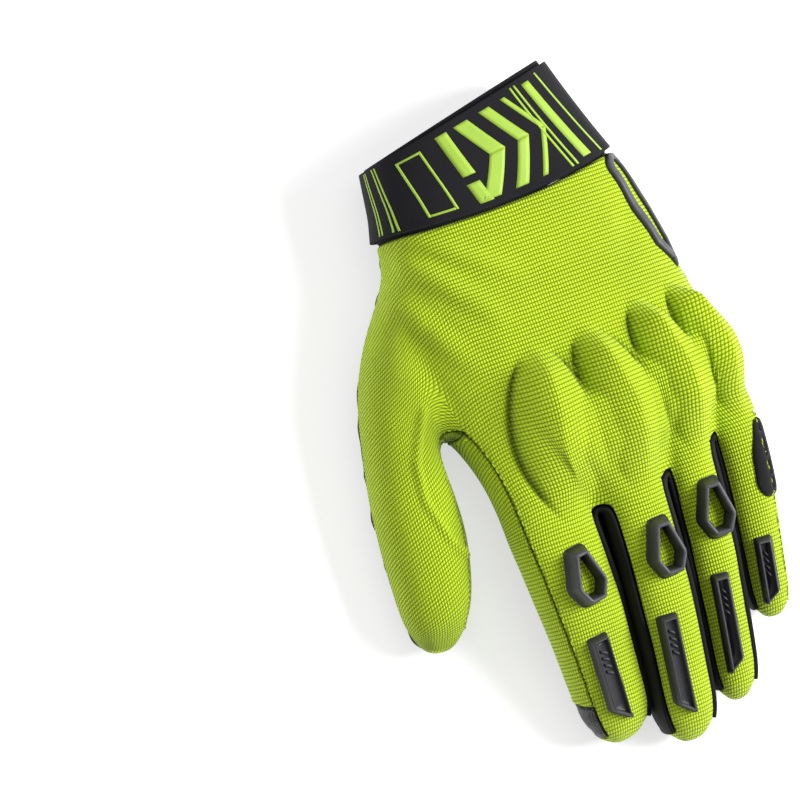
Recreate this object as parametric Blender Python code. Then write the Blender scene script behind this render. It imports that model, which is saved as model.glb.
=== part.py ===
# Motorcycle glove for the left hand, lying on its palm with its back up.
# Metres, +Z up. The fingertips point along -Y and the thumb lies on the -X side.
# Distances "along" the hand start at the middle of the cuff's edge.

import bpy
import bmesh
from collections import namedtuple
from math import copysign, cos, pi, radians, sin, tan
from mathutils import Matrix, Vector

# Lengths along the hand
CUFF_LENGTH = 0.036
CUFF_SLANT = 0.016        # how much further the cuff reaches on the little finger's side
PALM_LENGTH = 0.108       # cuff to the fork between index and middle finger
INDEX_LENGTH = 0.077
MIDDLE_LENGTH = 0.0865
RING_LENGTH = 0.085
LITTLE_LENGTH = 0.0695
THUMB_LENGTH = 0.0685     # from the thumb's fork to its tip

# Widths and heights
WRIST_WIDTH = 0.088
WRIST_HEIGHT = 0.044
PALM_WIDTH = 0.100
PALM_HEIGHT = 0.046
INDEX_WIDTH = 0.032
MIDDLE_WIDTH = 0.024
RING_WIDTH = 0.0198
LITTLE_WIDTH = 0.0187
FINGER_HEIGHT = 0.024
FINGER_SPACING = 0.0020
THUMB_WIDTH = 0.031
THUMB_HEIGHT = 0.029

# Cloth, leather and rubber
KNIT_THICKNESS = 0.0018
LEATHER_THICKNESS = 0.0014
CUFF_THICKNESS = 0.0022
STRAP_THICKNESS = 0.0018
PAD_THICKNESS = 0.0019
PATCH_THICKNESS = 0.0012
SEAM_GAP = 0.0005
PIECE_GAP = 0.0003
KNUCKLE_HEIGHT = 0.0065
KNUCKLE_WIDTH = 0.024
FOLD_HEIGHT = 0.0022

# Rubber guards
RING_GUARD_LENGTH = 0.0205
RING_GUARD_WIDTH = 0.0138
RING_GUARD_HEIGHT = 0.0052
RING_GUARD_WINDOW = 0.52  # window as a share of the guard
BAR_WIDTH = 0.0068
BAR_HEIGHT = 0.0030
GUARD_BEVEL = 0.0009
LOOP_LENGTH = 0.045
LOOP_WIDTH = 0.0115
LOOP_RIM = 0.0030
LOOP_HEIGHT = 0.0008      # over the highest stretch of the wrist beneath it
LOOP_TILT = radians(48)   # how far the loop leans over to the little finger's side
LOOP_TAPER_START = 0.55   # share of its half length where it starts to narrow to its point
LOOP_TAPER_WIDTH = 0.90   # its width there
GUARD_ROOT = 0.006        # how deep a guard's blank reaches before the hand is cut from it
WELD_DISTANCE = 0.00001

# The strap's edges, as shares of the cuff's length
STRAP_TOP = 0.05
STRAP_BOTTOM = 0.97
STRAP_PALM_TOP = 0.18
STRAP_PALM_BOTTOM = 0.84
STRAP_END_TAPER = 0.22
# Its run, in steps round the cuff's ring
STRAP_START_STEPS = 2     # from the little finger's side to its start under the palm
STRAP_OPEN_STEPS = 3      # from its start to its end
STRAP_TAPER_STEPS = 4     # over which it narrows under the palm

# The palm's leather stays this high, and a pad reaches the ground with its underside cut flat
GROUND_LIFT = PIECE_GAP + PAD_THICKNESS
PAD_CUT = 0.0002

# Ring layout: steps over the back, down each side and across the palm
FINGER_STEPS = 4
SIDE_STEPS = 3
FINGER_COUNT = 4
HAND_STEPS = FINGER_STEPS * FINGER_COUNT + FINGER_COUNT - 1
HAND_SEAM = radians(62)   # where back and palm rings turn to their sides, from straight up
FINGER_SEAM = radians(52)
HAND_ROUNDNESS = 2.6
FINGER_ROUNDNESS = 2.3
CAP_ROWS = 3
CAP_FALL = 0.3            # how much less a fingertip's corners reach forward than its middle
MITRE_LIMIT = 0.5         # keeps a seam's gap from growing too wide at a sharp corner

CuffRow = namedtuple("CuffRow", "along left right slant arch")
CUFF_ROWS = (             # along and arch: shares of CUFF_LENGTH, left and right: of WRIST_WIDTH
    CuffRow(0.000, -0.412, 0.380, 1.00, 0.00),
    CuffRow(0.333, -0.428, 0.425, 0.73, 0.04),
    CuffRow(0.667, -0.445, 0.475, 0.46, 0.08),
    CuffRow(1.000, -0.475, 0.530, 0.20, 0.12),
)

PalmRow = namedtuple("PalmRow", "along left right bottom top merge")
PALM_ROWS = (             # shares of PALM_LENGTH, PALM_WIDTH and PALM_HEIGHT, merge: of the fingers
    PalmRow(0.093, -0.425, 0.500, -0.03, 0.98, 0.00),
    PalmRow(0.185, -0.500, 0.525, -0.06, 0.99, 0.00),
    PalmRow(0.296, -0.505, 0.545, -0.06, 1.00, 0.00),
    PalmRow(0.407, -0.485, 0.563, -0.05, 1.00, 0.00),
    PalmRow(0.519, -0.460, 0.580, -0.02, 1.00, 0.00),
    PalmRow(0.620, -0.435, 0.600, 0.04, 0.99, 0.04),
    PalmRow(0.713, -0.400, 0.615, 0.11, 0.98, 0.16),
    PalmRow(0.806, -0.378, 0.617, 0.19, 0.97, 0.38),
    PalmRow(0.907, -0.370, 0.615, 0.27, 0.96, 0.70),
)
THUMB_FIRST_ROW = 1       # palm rows between which the thumb grows out
THUMB_LAST_ROW = 5

Finger = namedtuple("Finger", "name length width setback middle height lean roll taper mirror_bar")
FINGERS = (               # setback: share of PALM_LENGTH, middle: of PALM_HEIGHT, height: of FINGER_HEIGHT
    Finger("index", INDEX_LENGTH, INDEX_WIDTH, 0.000, 0.65, 1.00, 3.8, -6, 0.78, 1),
    Finger("middle", MIDDLE_LENGTH, MIDDLE_WIDTH, 0.009, 0.69, 1.02, -1.5, 0, 0.92, 1),
    Finger("ring", RING_LENGTH, RING_WIDTH, 0.060, 0.64, 0.94, -3.3, 6, 0.86, -1),
    Finger("little", LITTLE_LENGTH, LITTLE_WIDTH, 0.120, 0.59, 0.80, -2.5, 12, 0.86, -1),
)
HAND_OFFSET = 0.124      # middle of the four fingers, as a share of PALM_WIDTH

FingerRow = namedtuple("FingerRow", "along width height drop")
FINGER_ROWS = (           # shares of the finger's length, width, height and fall to the ground
    FingerRow(0.000, 1.00, 1.00, 0.00),
    FingerRow(0.075, 0.99, 1.00, 0.03),
    FingerRow(0.180, 1.00, 1.00, 0.09),
    FingerRow(0.300, 1.01, 0.99, 0.18),
    FingerRow(0.420, 1.01, 0.97, 0.30),
    FingerRow(0.540, 0.99, 0.95, 0.45),
    FingerRow(0.660, 0.98, 0.93, 0.61),
    FingerRow(0.770, 0.98, 0.91, 0.77),
    FingerRow(0.875, 0.95, 0.86, 0.91),
    FingerRow(0.950, 0.76, 0.68, 0.98),
)
TIP_FIRST_ROW = 6         # rows from here on have the leather tip underneath
SLANT_FADE = 0.35         # share of a finger over which its rings straighten up

ThumbRow = namedtuple("ThumbRow", "outer_along outer inner_along inner bottom top")
THUMB_ROWS = (            # outer and inner: shares of THUMB_WIDTH, bottom and top: of THUMB_HEIGHT
    ThumbRow(0.070, 0.435, 0.040, 0.090, 0.04, 1.26),
    ThumbRow(0.208, 0.726, 0.100, 0.105, 0.01, 1.16),
    ThumbRow(0.381, 0.887, 0.175, 0.085, 0.00, 1.08),
    ThumbRow(0.537, 1.000, 0.277, 0.065, 0.00, 1.02),
    ThumbRow(0.675, 1.055, 0.467, 0.070, 0.00, 0.98),
    ThumbRow(0.788, 1.080, 0.650, 0.160, 0.00, 0.94),
    ThumbRow(0.874, 1.087, 0.810, 0.274, 0.02, 0.86),
    ThumbRow(0.935, 1.032, 0.920, 0.435, 0.08, 0.72),
)
THUMB_TIP_FIRST_ROW = 5

Ridge = namedtuple("Ridge", "start_along start end_along end width height")
KNUCKLES = (              # along: shares of PALM_LENGTH, start and end: of PALM_WIDTH
    Ridge(0.470, -0.135, 0.990, -0.206, 1.00, 1.00),
    Ridge(0.475, 0.110, 0.985, 0.086, 1.00, 1.00),
    Ridge(0.445, 0.287, 0.920, 0.325, 0.90, 0.95),
    Ridge(0.410, 0.455, 0.850, 0.540, 0.95, 0.85),
)
WRIST_FOLDS = (
    Ridge(0.010, -0.440, 0.210, -0.140, 0.40, 1.00),
    Ridge(0.130, -0.470, 0.330, -0.200, 0.45, 0.80),
)
RIDGE_RISE = 0.6          # under 1, a ridge swells faster than it fades
RIDGE_START_WIDTH = 0.45
RIDGE_LEAST_UP = 0.3      # the skin leans up at least this much where ridges lift it

RingGuard = namedtuple("RingGuard", "finger along across")
RING_GUARDS = (           # along: share of the finger's length, across: of its width
    RingGuard("index", 0.205, 0.00),
    RingGuard("middle", 0.200, 0.11),
    RingGuard("ring", 0.200, 0.16),
)
RING_GUARD_OUTLINE = ((-0.24, -0.48), (0.24, -0.48), (0.50, 0.16), (0.26, 0.50), (-0.26, 0.50), (-0.50, 0.16))

BarGuard = namedtuple("BarGuard", "finger start end width")
BAR_GUARDS = (            # start and end: shares of the finger's length, width: of BAR_WIDTH
    BarGuard("index", 0.448, 0.880, 1.00),
    BarGuard("middle", 0.434, 0.870, 0.94),
    BarGuard("ring", 0.441, 0.870, 0.84),
    BarGuard("little", 0.550, 0.915, 0.82),
)
BAR_SLANT = 0.85          # how much longer one side of a bar is, as a share of its width

# Pad outlines on the palm: shares of PALM_WIDTH across and of PALM_LENGTH along
HEEL_PAD_OUTLINE = (
    (0.13, 0.02), (-0.275, 0.25), (-0.28, 0.32), (-0.105, 0.45), (0.034, 0.355), (0.104, 0.32),
    (0.266, 0.365), (0.36, 0.41), (0.44, 0.36), (0.46, 0.22), (0.40, 0.08), (0.30, 0.02),
)
PALM_PAD_OUTLINE = (
    (-0.27, 0.86), (-0.16, 0.72), (-0.05, 0.785), (0.06, 0.645), (0.24, 0.58), (0.38, 0.615),
    (0.47, 0.69), (0.465, 0.775), (0.18, 0.865), (0.15, 0.945), (0.045, 0.955), (-0.005, 0.91),
    (-0.07, 0.925), (-0.085, 1.03), (-0.155, 1.045), (-0.255, 1.00),
)
LITTLE_PATCH_OUTLINE = (  # shares of LITTLE_LENGTH along the finger and of FINGER_HEIGHT up
    (0.00, 0.10), (0.17, 0.36), (0.41, 0.40), (0.47, 0.22), (0.42, -0.30), (0.20, -0.34), (0.05, -0.16),
)

Finish = namedtuple("Finish", "name colour roughness")
LIME_KNIT = Finish("lime_knit", (0.52, 0.86, 0.02), 0.85)
BLACK_LEATHER = Finish("black_leather", (0.018, 0.018, 0.020), 0.42)
BLACK_SUEDE = Finish("black_suede", (0.022, 0.022, 0.024), 0.90)
BLACK_STRETCH = Finish("black_stretch", (0.016, 0.016, 0.018), 0.75)
CUFF_CLOTH = Finish("cuff_cloth", (0.030, 0.030, 0.034), 0.70)
GUARD_RUBBER = Finish("guard_rubber", (0.045, 0.045, 0.055), 0.45)


def clear_scene():
    for item in list(bpy.data.objects):
        bpy.data.objects.remove(item, do_unlink=True)


def new_collection(name):
    collection = bpy.data.collections.new(name)
    bpy.context.scene.collection.children.link(collection)
    return collection


def finish_material(finish):
    material = bpy.data.materials.get(finish.name)
    if material:
        return material
    material = bpy.data.materials.new(finish.name)
    material.use_nodes = True
    shader = material.node_tree.nodes["Principled BSDF"]
    shader.inputs["Base Color"].default_value = (*finish.colour, 1)
    shader.inputs["Roughness"].default_value = finish.roughness
    shader.inputs["Metallic"].default_value = 0
    return material


def mesh_object(name, mesh, finish, collection):
    item = bpy.data.objects.new(name, mesh)
    item.data.materials.append(finish_material(finish))
    collection.objects.link(item)
    return item


def place(across, along, height):
    return Vector((across, -along, height))


def rounded(angle, power):
    """Point on a rounded box of half width and half height 1, its angle taken from straight up."""
    side, up = sin(angle), cos(angle)
    return copysign(abs(side) ** (2 / power), side), copysign(abs(up) ** (2 / power), up)


def mix(a, b, share):
    return a + (b - a) * share


def between(low, high, count):
    """The points that part a stretch into count steps, ends left out."""
    return [mix(low, high, step / count) for step in range(1, count)]


def ring_angles(seam, top, bottom):
    """Angles round a ring: over the back, down the right side, under the palm, up the left side."""
    return (
        [mix(-seam, seam, share) for share in top]
        + between(seam, pi - seam, SIDE_STEPS)
        + [mix(pi - seam, pi + seam, share) for share in bottom]
        + between(pi + seam, 2 * pi - seam, SIDE_STEPS)
    )


class Skin:
    """The glove's outer face as rings of points, with its triangles sorted into sewn panels."""

    def __init__(self):
        self.points = []
        self.panels = {}

    def add_points(self, places):
        first = len(self.points)
        self.points.extend(places)
        return list(range(first, len(self.points)))

    def add_quad(self, panel, quad):
        """Two triangles, so that a panel and what is cut to fit it bend along the same lines."""
        a, b, c, d = quad
        self.panels.setdefault(panel, []).extend(((a, b, c), (a, c, d)))

    def add_band(self, near, far, names):
        """Quads from ring near to ring far; a name of None leaves a hole."""
        for step, name in enumerate(names):
            after = (step + 1) % len(near)
            if name:
                self.add_quad(name, (near[step], far[step], far[after], near[after]))

    def faces(self):
        return [face for panel in self.panels.values() for face in panel]

    def normals(self):
        mesh = bpy.data.meshes.new("skin")
        mesh.from_pydata([tuple(point) for point in self.points], [], self.faces())
        result = [vertex.normal.copy() for vertex in mesh.vertices]
        bpy.data.meshes.remove(mesh)
        return result


def finger_left_edges():
    """Where each finger's left side starts across the hand."""
    total = sum(finger.width for finger in FINGERS) + FINGER_SPACING * (FINGER_COUNT - 1)
    edge = HAND_OFFSET * PALM_WIDTH - total / 2
    edges = []
    for finger in FINGERS:
        edges.append(edge)
        edge += finger.width + FINGER_SPACING
    return edges


Frame = namedtuple("Frame", "centre side up forward half_width half_height")


def finger_frames(finger, left_edge):
    """One frame for each finger row, with the finger bending down to rest on its tip."""
    tip_height = finger.height * FINGER_HEIGHT * FINGER_ROWS[-2].height / 2
    base_height = finger.middle * PALM_HEIGHT
    start = left_edge + finger.width / 2
    setback = CUFF_LENGTH + PALM_LENGTH * (1 - finger.setback)
    centres = [
        place(
            start + tan(radians(finger.lean)) * finger.length * row.along,
            setback + finger.length * row.along,
            mix(base_height, tip_height, row.drop),
        )
        for row in FINGER_ROWS
    ]
    frames = []
    for number, row in enumerate(FINGER_ROWS):
        before = centres[max(number - 1, 0)]
        after = centres[min(number + 1, len(centres) - 1)]
        forward = (after - before).normalized()
        side = Vector((0, 0, 1)).cross(forward).normalized()
        up = forward.cross(side)
        turn = Matrix.Rotation(radians(finger.roll), 3, forward)
        width = finger.width * row.width * mix(1, finger.taper, row.along)
        height = finger.height * FINGER_HEIGHT * row.height
        frames.append(Frame(centres[number], turn @ side, turn @ up, forward, width / 2, height / 2))
    return frames


def finger_ring(frame, left_slant, right_slant):
    """Ring of a finger, slanted towards the webs on its two sides."""
    shares = [step / FINGER_STEPS for step in range(FINGER_STEPS + 1)]
    ring = []
    for angle in ring_angles(FINGER_SEAM, shares, shares):
        side, up = rounded(angle, FINGER_ROUNDNESS)
        point = frame.centre + frame.side * side * frame.half_width + frame.up * up * frame.half_height
        point.y -= abs(side) * (left_slant if side < 0 else right_slant)
        point.z = max(point.z, 0)
        ring.append(point)
    return ring


def web_slants():
    """How far along each finger's left and right web lie past the middle of its own base."""
    setbacks = [finger.setback for finger in FINGERS]
    webs = [(a + b) / 2 for a, b in zip(setbacks, setbacks[1:])]
    left, right = [setbacks[0], *webs], [*webs, setbacks[-1]]
    return [((own - a) * PALM_LENGTH, (own - b) * PALM_LENGTH) for own, a, b in zip(setbacks, left, right)]


def join_base_rings(rings):
    """The four finger rings as one ring round the whole hand, in the palm rows' order."""
    right = FINGER_STEPS + 1
    under = right + SIDE_STEPS - 1
    left = under + FINGER_STEPS + 1
    top = [point for ring in rings for point in ring[:right]]
    bottom = [point for ring in reversed(rings) for point in ring[under:left]]
    return top + rings[-1][right:under] + bottom + rings[0][left:]


def spread(points):
    """How far each point lies along the line from the first to the last, as a share."""
    total = points[-1].x - points[0].x
    return [(point.x - points[0].x) / total for point in points]


def hand_rings(base):
    """Rings of the cuff and the palm, which turn into the four finger bases."""
    count = HAND_STEPS + 1
    top, bottom = base[:count], base[count + SIDE_STEPS - 1:2 * count + SIDE_STEPS - 1]
    angles = ring_angles(HAND_SEAM, spread(top), spread(bottom))
    rings = []
    for row in CUFF_ROWS:
        middle, half = (row.left + row.right) / 2 * WRIST_WIDTH, (row.right - row.left) / 2 * WRIST_WIDTH
        ring = []
        for angle in angles:
            side, up = rounded(angle, HAND_ROUNDNESS)
            along = CUFF_LENGTH * row.along - CUFF_SLANT / 2 * row.slant * side
            along -= CUFF_LENGTH * row.arch * side * side
            ring.append(place(middle + half * side, along, WRIST_HEIGHT / 2 * (1 + up)))
        rings.append(ring)
    wrist = rings[-1]
    for row in PALM_ROWS:
        middle, half = (row.left + row.right) / 2 * PALM_WIDTH, (row.right - row.left) / 2 * PALM_WIDTH
        level, rise = (row.top + row.bottom) / 2 * PALM_HEIGHT, (row.top - row.bottom) / 2 * PALM_HEIGHT
        ring = []
        for angle, start, end in zip(angles, wrist, base):
            side, up = rounded(angle, HAND_ROUNDNESS)
            point = Vector((middle + half * side, 0, level + rise * up)).lerp(end, row.merge)
            point.y = mix(start.y, end.y, row.along)
            ring.append(point)
        rings.append(ring)
    for ring in rings:
        for point in ring:
            point.z = max(point.z, GROUND_LIFT)
    return rings


def thumb_rings(hole, web_along, start_along):
    """Rings of the thumb, each set between a point on its outer side and one on its inner side."""
    tip_along = web_along + THUMB_LENGTH
    inner_edge = min(point.x for point in hole[FINGER_STEPS:FINGER_STEPS + SIDE_STEPS + 1])
    shares = [step / FINGER_STEPS for step in range(FINGER_STEPS + 1)]
    rings = []
    for row in THUMB_ROWS:
        outer_along = mix(start_along, tip_along, row.outer_along)
        inner_along = mix(web_along, tip_along, row.inner_along)
        outer = place(inner_edge - row.outer * THUMB_WIDTH, outer_along, 0)
        inner = place(inner_edge - row.inner * THUMB_WIDTH, inner_along, 0)
        centre = (outer + inner) / 2
        centre.z = (row.bottom + row.top) / 2 * THUMB_HEIGHT
        half_height = (row.top - row.bottom) / 2 * THUMB_HEIGHT
        ring = []
        for angle in ring_angles(FINGER_SEAM, shares, shares):
            side, up = rounded(angle, FINGER_ROUNDNESS)
            point = centre + (inner - outer) / 2 * side
            point.z += up * half_height
            ring.append(point)
        rings.append(ring)
    return rings


def add_cap(skin, ring, reach, names):
    """Closes a finger with a small domed grid that reaches past its last ring."""
    right = FINGER_STEPS + 1
    under = right + SIDE_STEPS - 1
    left = under + FINGER_STEPS + 1
    rows = [ring[:right]]
    for row in range(1, CAP_ROWS):
        start, end = skin.points[ring[left + SIDE_STEPS - 1 - row]], skin.points[ring[right + row - 1]]
        inside = []
        for column in range(1, FINGER_STEPS):
            share = column / FINGER_STEPS
            over, below = skin.points[ring[column]], skin.points[ring[left - 1 - column]]
            across = start.lerp(end, share)
            upright = over.lerp(below, row / CAP_ROWS)
            bulge = 1 - CAP_FALL * (2 * share - 1) ** 2
            inside.append((across + upright) / 2 + reach * bulge)
        rows.append([ring[left + SIDE_STEPS - 1 - row], *skin.add_points(inside), ring[right + row - 1]])
    rows.append(list(reversed(ring[under:left])))
    for row, name in enumerate(names):
        for column in range(FINGER_STEPS):
            skin.add_quad(name, (rows[row][column], rows[row + 1][column],
                                 rows[row + 1][column + 1], rows[row][column + 1]))


def add_hand(skin, base_rings):
    """Cuff and palm; returns the numbers of every palm ring, the finger bases last."""
    base = join_base_rings([[skin.points[number] for number in ring] for ring in base_rings])
    numbers = [skin.add_points(ring) for ring in hand_rings(base)]
    numbers.append(join_base_rings(base_rings))
    cuff_end = len(CUFF_ROWS) - 1
    thumb_start, thumb_end = cuff_end + 1 + THUMB_FIRST_ROW, cuff_end + 1 + THUMB_LAST_ROW
    across = ["back_panel"] * HAND_STEPS
    under = ["palm_panel"] * HAND_STEPS
    for step in range(len(numbers) - 1):
        near, far = numbers[step], numbers[step + 1]
        outer_side = ["back_panel", "palm_panel", "palm_panel"]
        if step < cuff_end:
            names = ["wrist_cuff"] * len(near)
        elif step < thumb_start:
            names = across + outer_side + under + ["palm_panel", "back_panel", "back_panel"]
        elif step < thumb_end:
            names = across + outer_side + under + [None] * SIDE_STEPS
        else:
            names = across + outer_side + under + ["index_side_panel"] * SIDE_STEPS
        skin.add_band(near, far, names)
    return numbers, numbers[thumb_start:thumb_end + 1]


def add_finger(skin, rings, name, left_name, right_name):
    for row in range(len(rings) - 1):
        is_tip = row >= TIP_FIRST_ROW
        under = name + "_tip" if is_tip else "palm_panel"
        left = "index_tip" if name == "index" and row > TIP_FIRST_ROW else left_name
        names = (["back_panel"] * FINGER_STEPS + [right_name] * SIDE_STEPS
                 + [under] * FINGER_STEPS + [left] * SIDE_STEPS)
        skin.add_band(rings[row], rings[row + 1], names)


def add_webs(skin, base_rings):
    """The short saddles between neighbouring fingers, part of the forks."""
    right = FINGER_STEPS
    under = right + SIDE_STEPS
    left = under + FINGER_STEPS
    for ring, after, fork in zip(base_rings, base_rings[1:], fork_names()):
        near = ring[right:under + 1]
        far = [after[0], *reversed(after[left + 1:]), after[left]]
        for step in range(SIDE_STEPS):
            skin.add_quad(fork, (near[step], near[step + 1], far[step + 1], far[step]))


def fork_names():
    return ["fork_{}_{}".format(a.name, b.name) for a, b in zip(FINGERS, FINGERS[1:])]


def add_thumb(skin, rows):
    """The thumb grows out of the hole that the palm's radial side leaves open."""
    last = len(rows[0]) - 1
    outer_low, outer_high = last - 1, last
    under = last - SIDE_STEPS + 1
    hole = ([row[0] for row in rows] + [rows[-1][outer_high], rows[-1][outer_low]]
            + [row[under] for row in reversed(rows)] + [rows[0][outer_low], rows[0][outer_high]])
    places = [skin.points[number] for number in hole]
    start_along, web_along = [-skin.points[row[outer_low]].y for row in (rows[0], rows[-1])]
    rings = [hole] + [skin.add_points(ring) for ring in thumb_rings(places, web_along, start_along)]
    for step in range(len(rings) - 1):
        below = "thumb_tip" if step >= THUMB_TIP_FIRST_ROW else "thumb_palm"
        names = (["back_panel"] * FINGER_STEPS + ["thumb_side_panel"] * SIDE_STEPS
                 + [below] * (FINGER_STEPS + 1) + ["back_panel"] * (SIDE_STEPS - 1))
        skin.add_band(rings[step], rings[step + 1], names)
    end = [skin.points[number] for number in rings[-1]]
    before = [skin.points[number] for number in rings[-2]]
    forward = (sum(end, Vector()) - sum(before, Vector())).normalized()
    reach = forward * THUMB_LENGTH * (1 - THUMB_ROWS[-1].inner_along)
    add_cap(skin, rings[-1], reach, ["back_panel", "back_panel", "thumb_tip"])


def ridge_height(ridge, across, along):
    """Height of a ridge that starts in a point, swells and fades out towards its end."""
    start_along, end_along = ridge.start_along * PALM_LENGTH, ridge.end_along * PALM_LENGTH
    share = (along - CUFF_LENGTH - start_along) / (end_along - start_along)
    if not 0 < share < 1:
        return 0
    middle = mix(ridge.start, ridge.end, share) * PALM_WIDTH
    swell = sin(pi * share ** RIDGE_RISE)
    reach = ridge.width * KNUCKLE_WIDTH / 2 * mix(RIDGE_START_WIDTH, 1, swell)
    offset = abs(across - middle) / reach
    return ridge.height * swell * cos(pi / 2 * offset) ** 2 if offset < 1 else 0


def raise_back(skin):
    """Lifts the knuckle guard and the wrist folds out of the back."""
    normals = skin.normals()
    for number in {number for face in skin.panels["back_panel"] for number in face}:
        point, normal = skin.points[number], normals[number]
        if normal.z < RIDGE_LEAST_UP:
            continue
        knuckle = max(ridge_height(ridge, point.x, -point.y) for ridge in KNUCKLES)
        fold = max(ridge_height(ridge, point.x, -point.y) for ridge in WRIST_FOLDS)
        point += normal * (knuckle * KNUCKLE_HEIGHT + fold * FOLD_HEIGHT)


def build_skin():
    skin = Skin()
    frames = {
        finger.name: finger_frames(finger, edge) for finger, edge in zip(FINGERS, finger_left_edges())
    }
    rings = {}
    for finger, slants in zip(FINGERS, web_slants()):
        rings[finger.name] = []
        for frame, row in zip(frames[finger.name], FINGER_ROWS):
            fade = max(1 - row.along / SLANT_FADE, 0)
            ring = finger_ring(frame, *[slant * fade for slant in slants])
            rings[finger.name].append(skin.add_points(ring))
    base_rings = [rings[finger.name][0] for finger in FINGERS]
    hand, thumb_rows = add_hand(skin, base_rings)
    add_webs(skin, base_rings)
    sides = ["index_side_panel", *fork_names(), "little_side_panel"]
    for finger, left_name, right_name in zip(FINGERS, sides, sides[1:]):
        add_finger(skin, rings[finger.name], finger.name, left_name, right_name)
        last = frames[finger.name][-1]
        reach = last.forward * finger.length * (1 - FINGER_ROWS[-1].along)
        add_cap(skin, rings[finger.name][-1], reach, ["back_panel", "back_panel", finger.name + "_tip"])
    add_thumb(skin, thumb_rows)
    raise_back(skin)
    return skin, frames, hand


def outline_edges(faces):
    """Edges that only one face of a panel has, in that face's own direction."""
    edges = {}
    for face in faces:
        for start, end in zip(face, face[1:] + face[:1]):
            edges[(start, end)] = face
    return {edge: face for edge, face in edges.items() if (edge[1], edge[0]) not in edges}


def seam_shifts(skin, rim, mouth, normals):
    """How each point of a panel's edge moves in, so that sewn neighbours keep a small gap."""
    pulls = {}
    for (start, end), face in rim.items():
        if (start, end) in mouth:
            continue
        a, b, c = (skin.points[number] for number in face)
        inward = (b - a).cross(c - b).cross(skin.points[end] - skin.points[start]).normalized()
        for number in (start, end):
            pulls.setdefault(number, []).append(inward)
    shifts = {}
    for number, directions in pulls.items():
        total = sum(directions, Vector()).normalized()
        total = (total - normals[number] * total.dot(normals[number])).normalized()
        closest = max(min(total.dot(direction) for direction in directions), MITRE_LIMIT)
        shifts[number] = total * SEAM_GAP / 2 / closest
    return shifts


def add_panel(skin, name, inside, outside, finish, collection):
    """A sewn panel as a wall of the skin between two offsets along the skin's normals."""
    faces = skin.panels[name]
    rim = outline_edges(faces)
    normals = skin.normals()
    shifts = seam_shifts(skin, rim, outline_edges(skin.faces()), normals)
    mesh = bmesh.new()
    layers = []
    for offset in (inside, outside):
        layer = {}
        for number in sorted({number for face in faces for number in face}):
            point = skin.points[number] + shifts.get(number, Vector()) + normals[number] * offset
            layer[number] = mesh.verts.new(point)
        layers.append(layer)
    inner, outer = layers
    for start, end in rim:
        # Sewn neighbours split a twisted edge along the same diagonal, so it keeps its gap.
        if start < end:
            mesh.faces.new((outer[end], outer[start], inner[start]))
            mesh.faces.new((outer[end], inner[start], inner[end]))
        else:
            mesh.faces.new((outer[end], outer[start], inner[end]))
            mesh.faces.new((outer[start], inner[start], inner[end]))
    for face in faces:
        mesh.faces.new([outer[number] for number in face])
        mesh.faces.new([inner[number] for number in reversed(face)])
    data = bpy.data.meshes.new(name)
    mesh.to_mesh(data)
    mesh.free()
    return mesh_object(name, data, finish, collection)


def cuff_value(values, hand, number, share):
    """A point or normal of the cuff, at one step round its ring and a share of its length."""
    scaled = share * (len(CUFF_ROWS) - 1)
    row = min(int(scaled), len(CUFF_ROWS) - 2)
    return values[hand[row][number]].lerp(values[hand[row + 1][number]], scaled - row)


def strap_columns(count):
    """Steps round a ring of count points, each with the strap's upper and lower edge there."""
    start = HAND_STEPS + SIDE_STEPS + STRAP_START_STEPS
    end = start + STRAP_OPEN_STEPS - count
    columns = []
    for number in range(start, end - 1, -1):
        share = min(max(-SIDE_STEPS - number, 0) / STRAP_TAPER_STEPS, 1)
        top, bottom = mix(STRAP_TOP, STRAP_PALM_TOP, share), mix(STRAP_BOTTOM, STRAP_PALM_BOTTOM, share)
        if number == end:
            top, bottom = mix(top, bottom, STRAP_END_TAPER), mix(bottom, top, STRAP_END_TAPER)
        columns.append((number % count, top, bottom))
    return columns


def add_strap(skin, hand, collection):
    """The strap starts under the palm, runs over the back and ends across the palm."""
    columns = strap_columns(len(hand[0]))
    rows = len(CUFF_ROWS)
    inner_shares = [row.along for row in CUFF_ROWS[1:-1]]
    normals = skin.normals()
    mesh = bmesh.new()
    layers = []
    for offset in (PIECE_GAP, PIECE_GAP + STRAP_THICKNESS):
        layer = []
        for number, top, bottom in columns:
            line = []
            for share in [top, *[min(max(share, top), bottom) for share in inner_shares], bottom]:
                point = cuff_value(skin.points, hand, number, share)
                normal = cuff_value(normals, hand, number, share).normalized()
                line.append(mesh.verts.new(point + normal * offset))
            layer.append(line)
        layers.append(layer)
    inner, outer = layers
    last = len(columns) - 1
    for column in range(last):
        for row in range(rows - 1):
            corners = ((column, row), (column, row + 1), (column + 1, row + 1), (column + 1, row))
            mesh.faces.new([inner[a][b] for a, b in corners])
            mesh.faces.new([outer[a][b] for a, b in reversed(corners)])
        for row in (0, rows - 1):
            mesh.faces.new((outer[column][row], outer[column + 1][row],
                            inner[column + 1][row], inner[column][row]))
    for row in range(rows - 1):
        for column in (0, last):
            mesh.faces.new((outer[column][row], outer[column][row + 1],
                            inner[column][row + 1], inner[column][row]))
    bmesh.ops.recalc_face_normals(mesh, faces=mesh.faces)
    data = bpy.data.meshes.new("wrist_strap")
    mesh.to_mesh(data)
    mesh.free()
    return mesh_object("wrist_strap", data, CUFF_CLOTH, collection)


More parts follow.
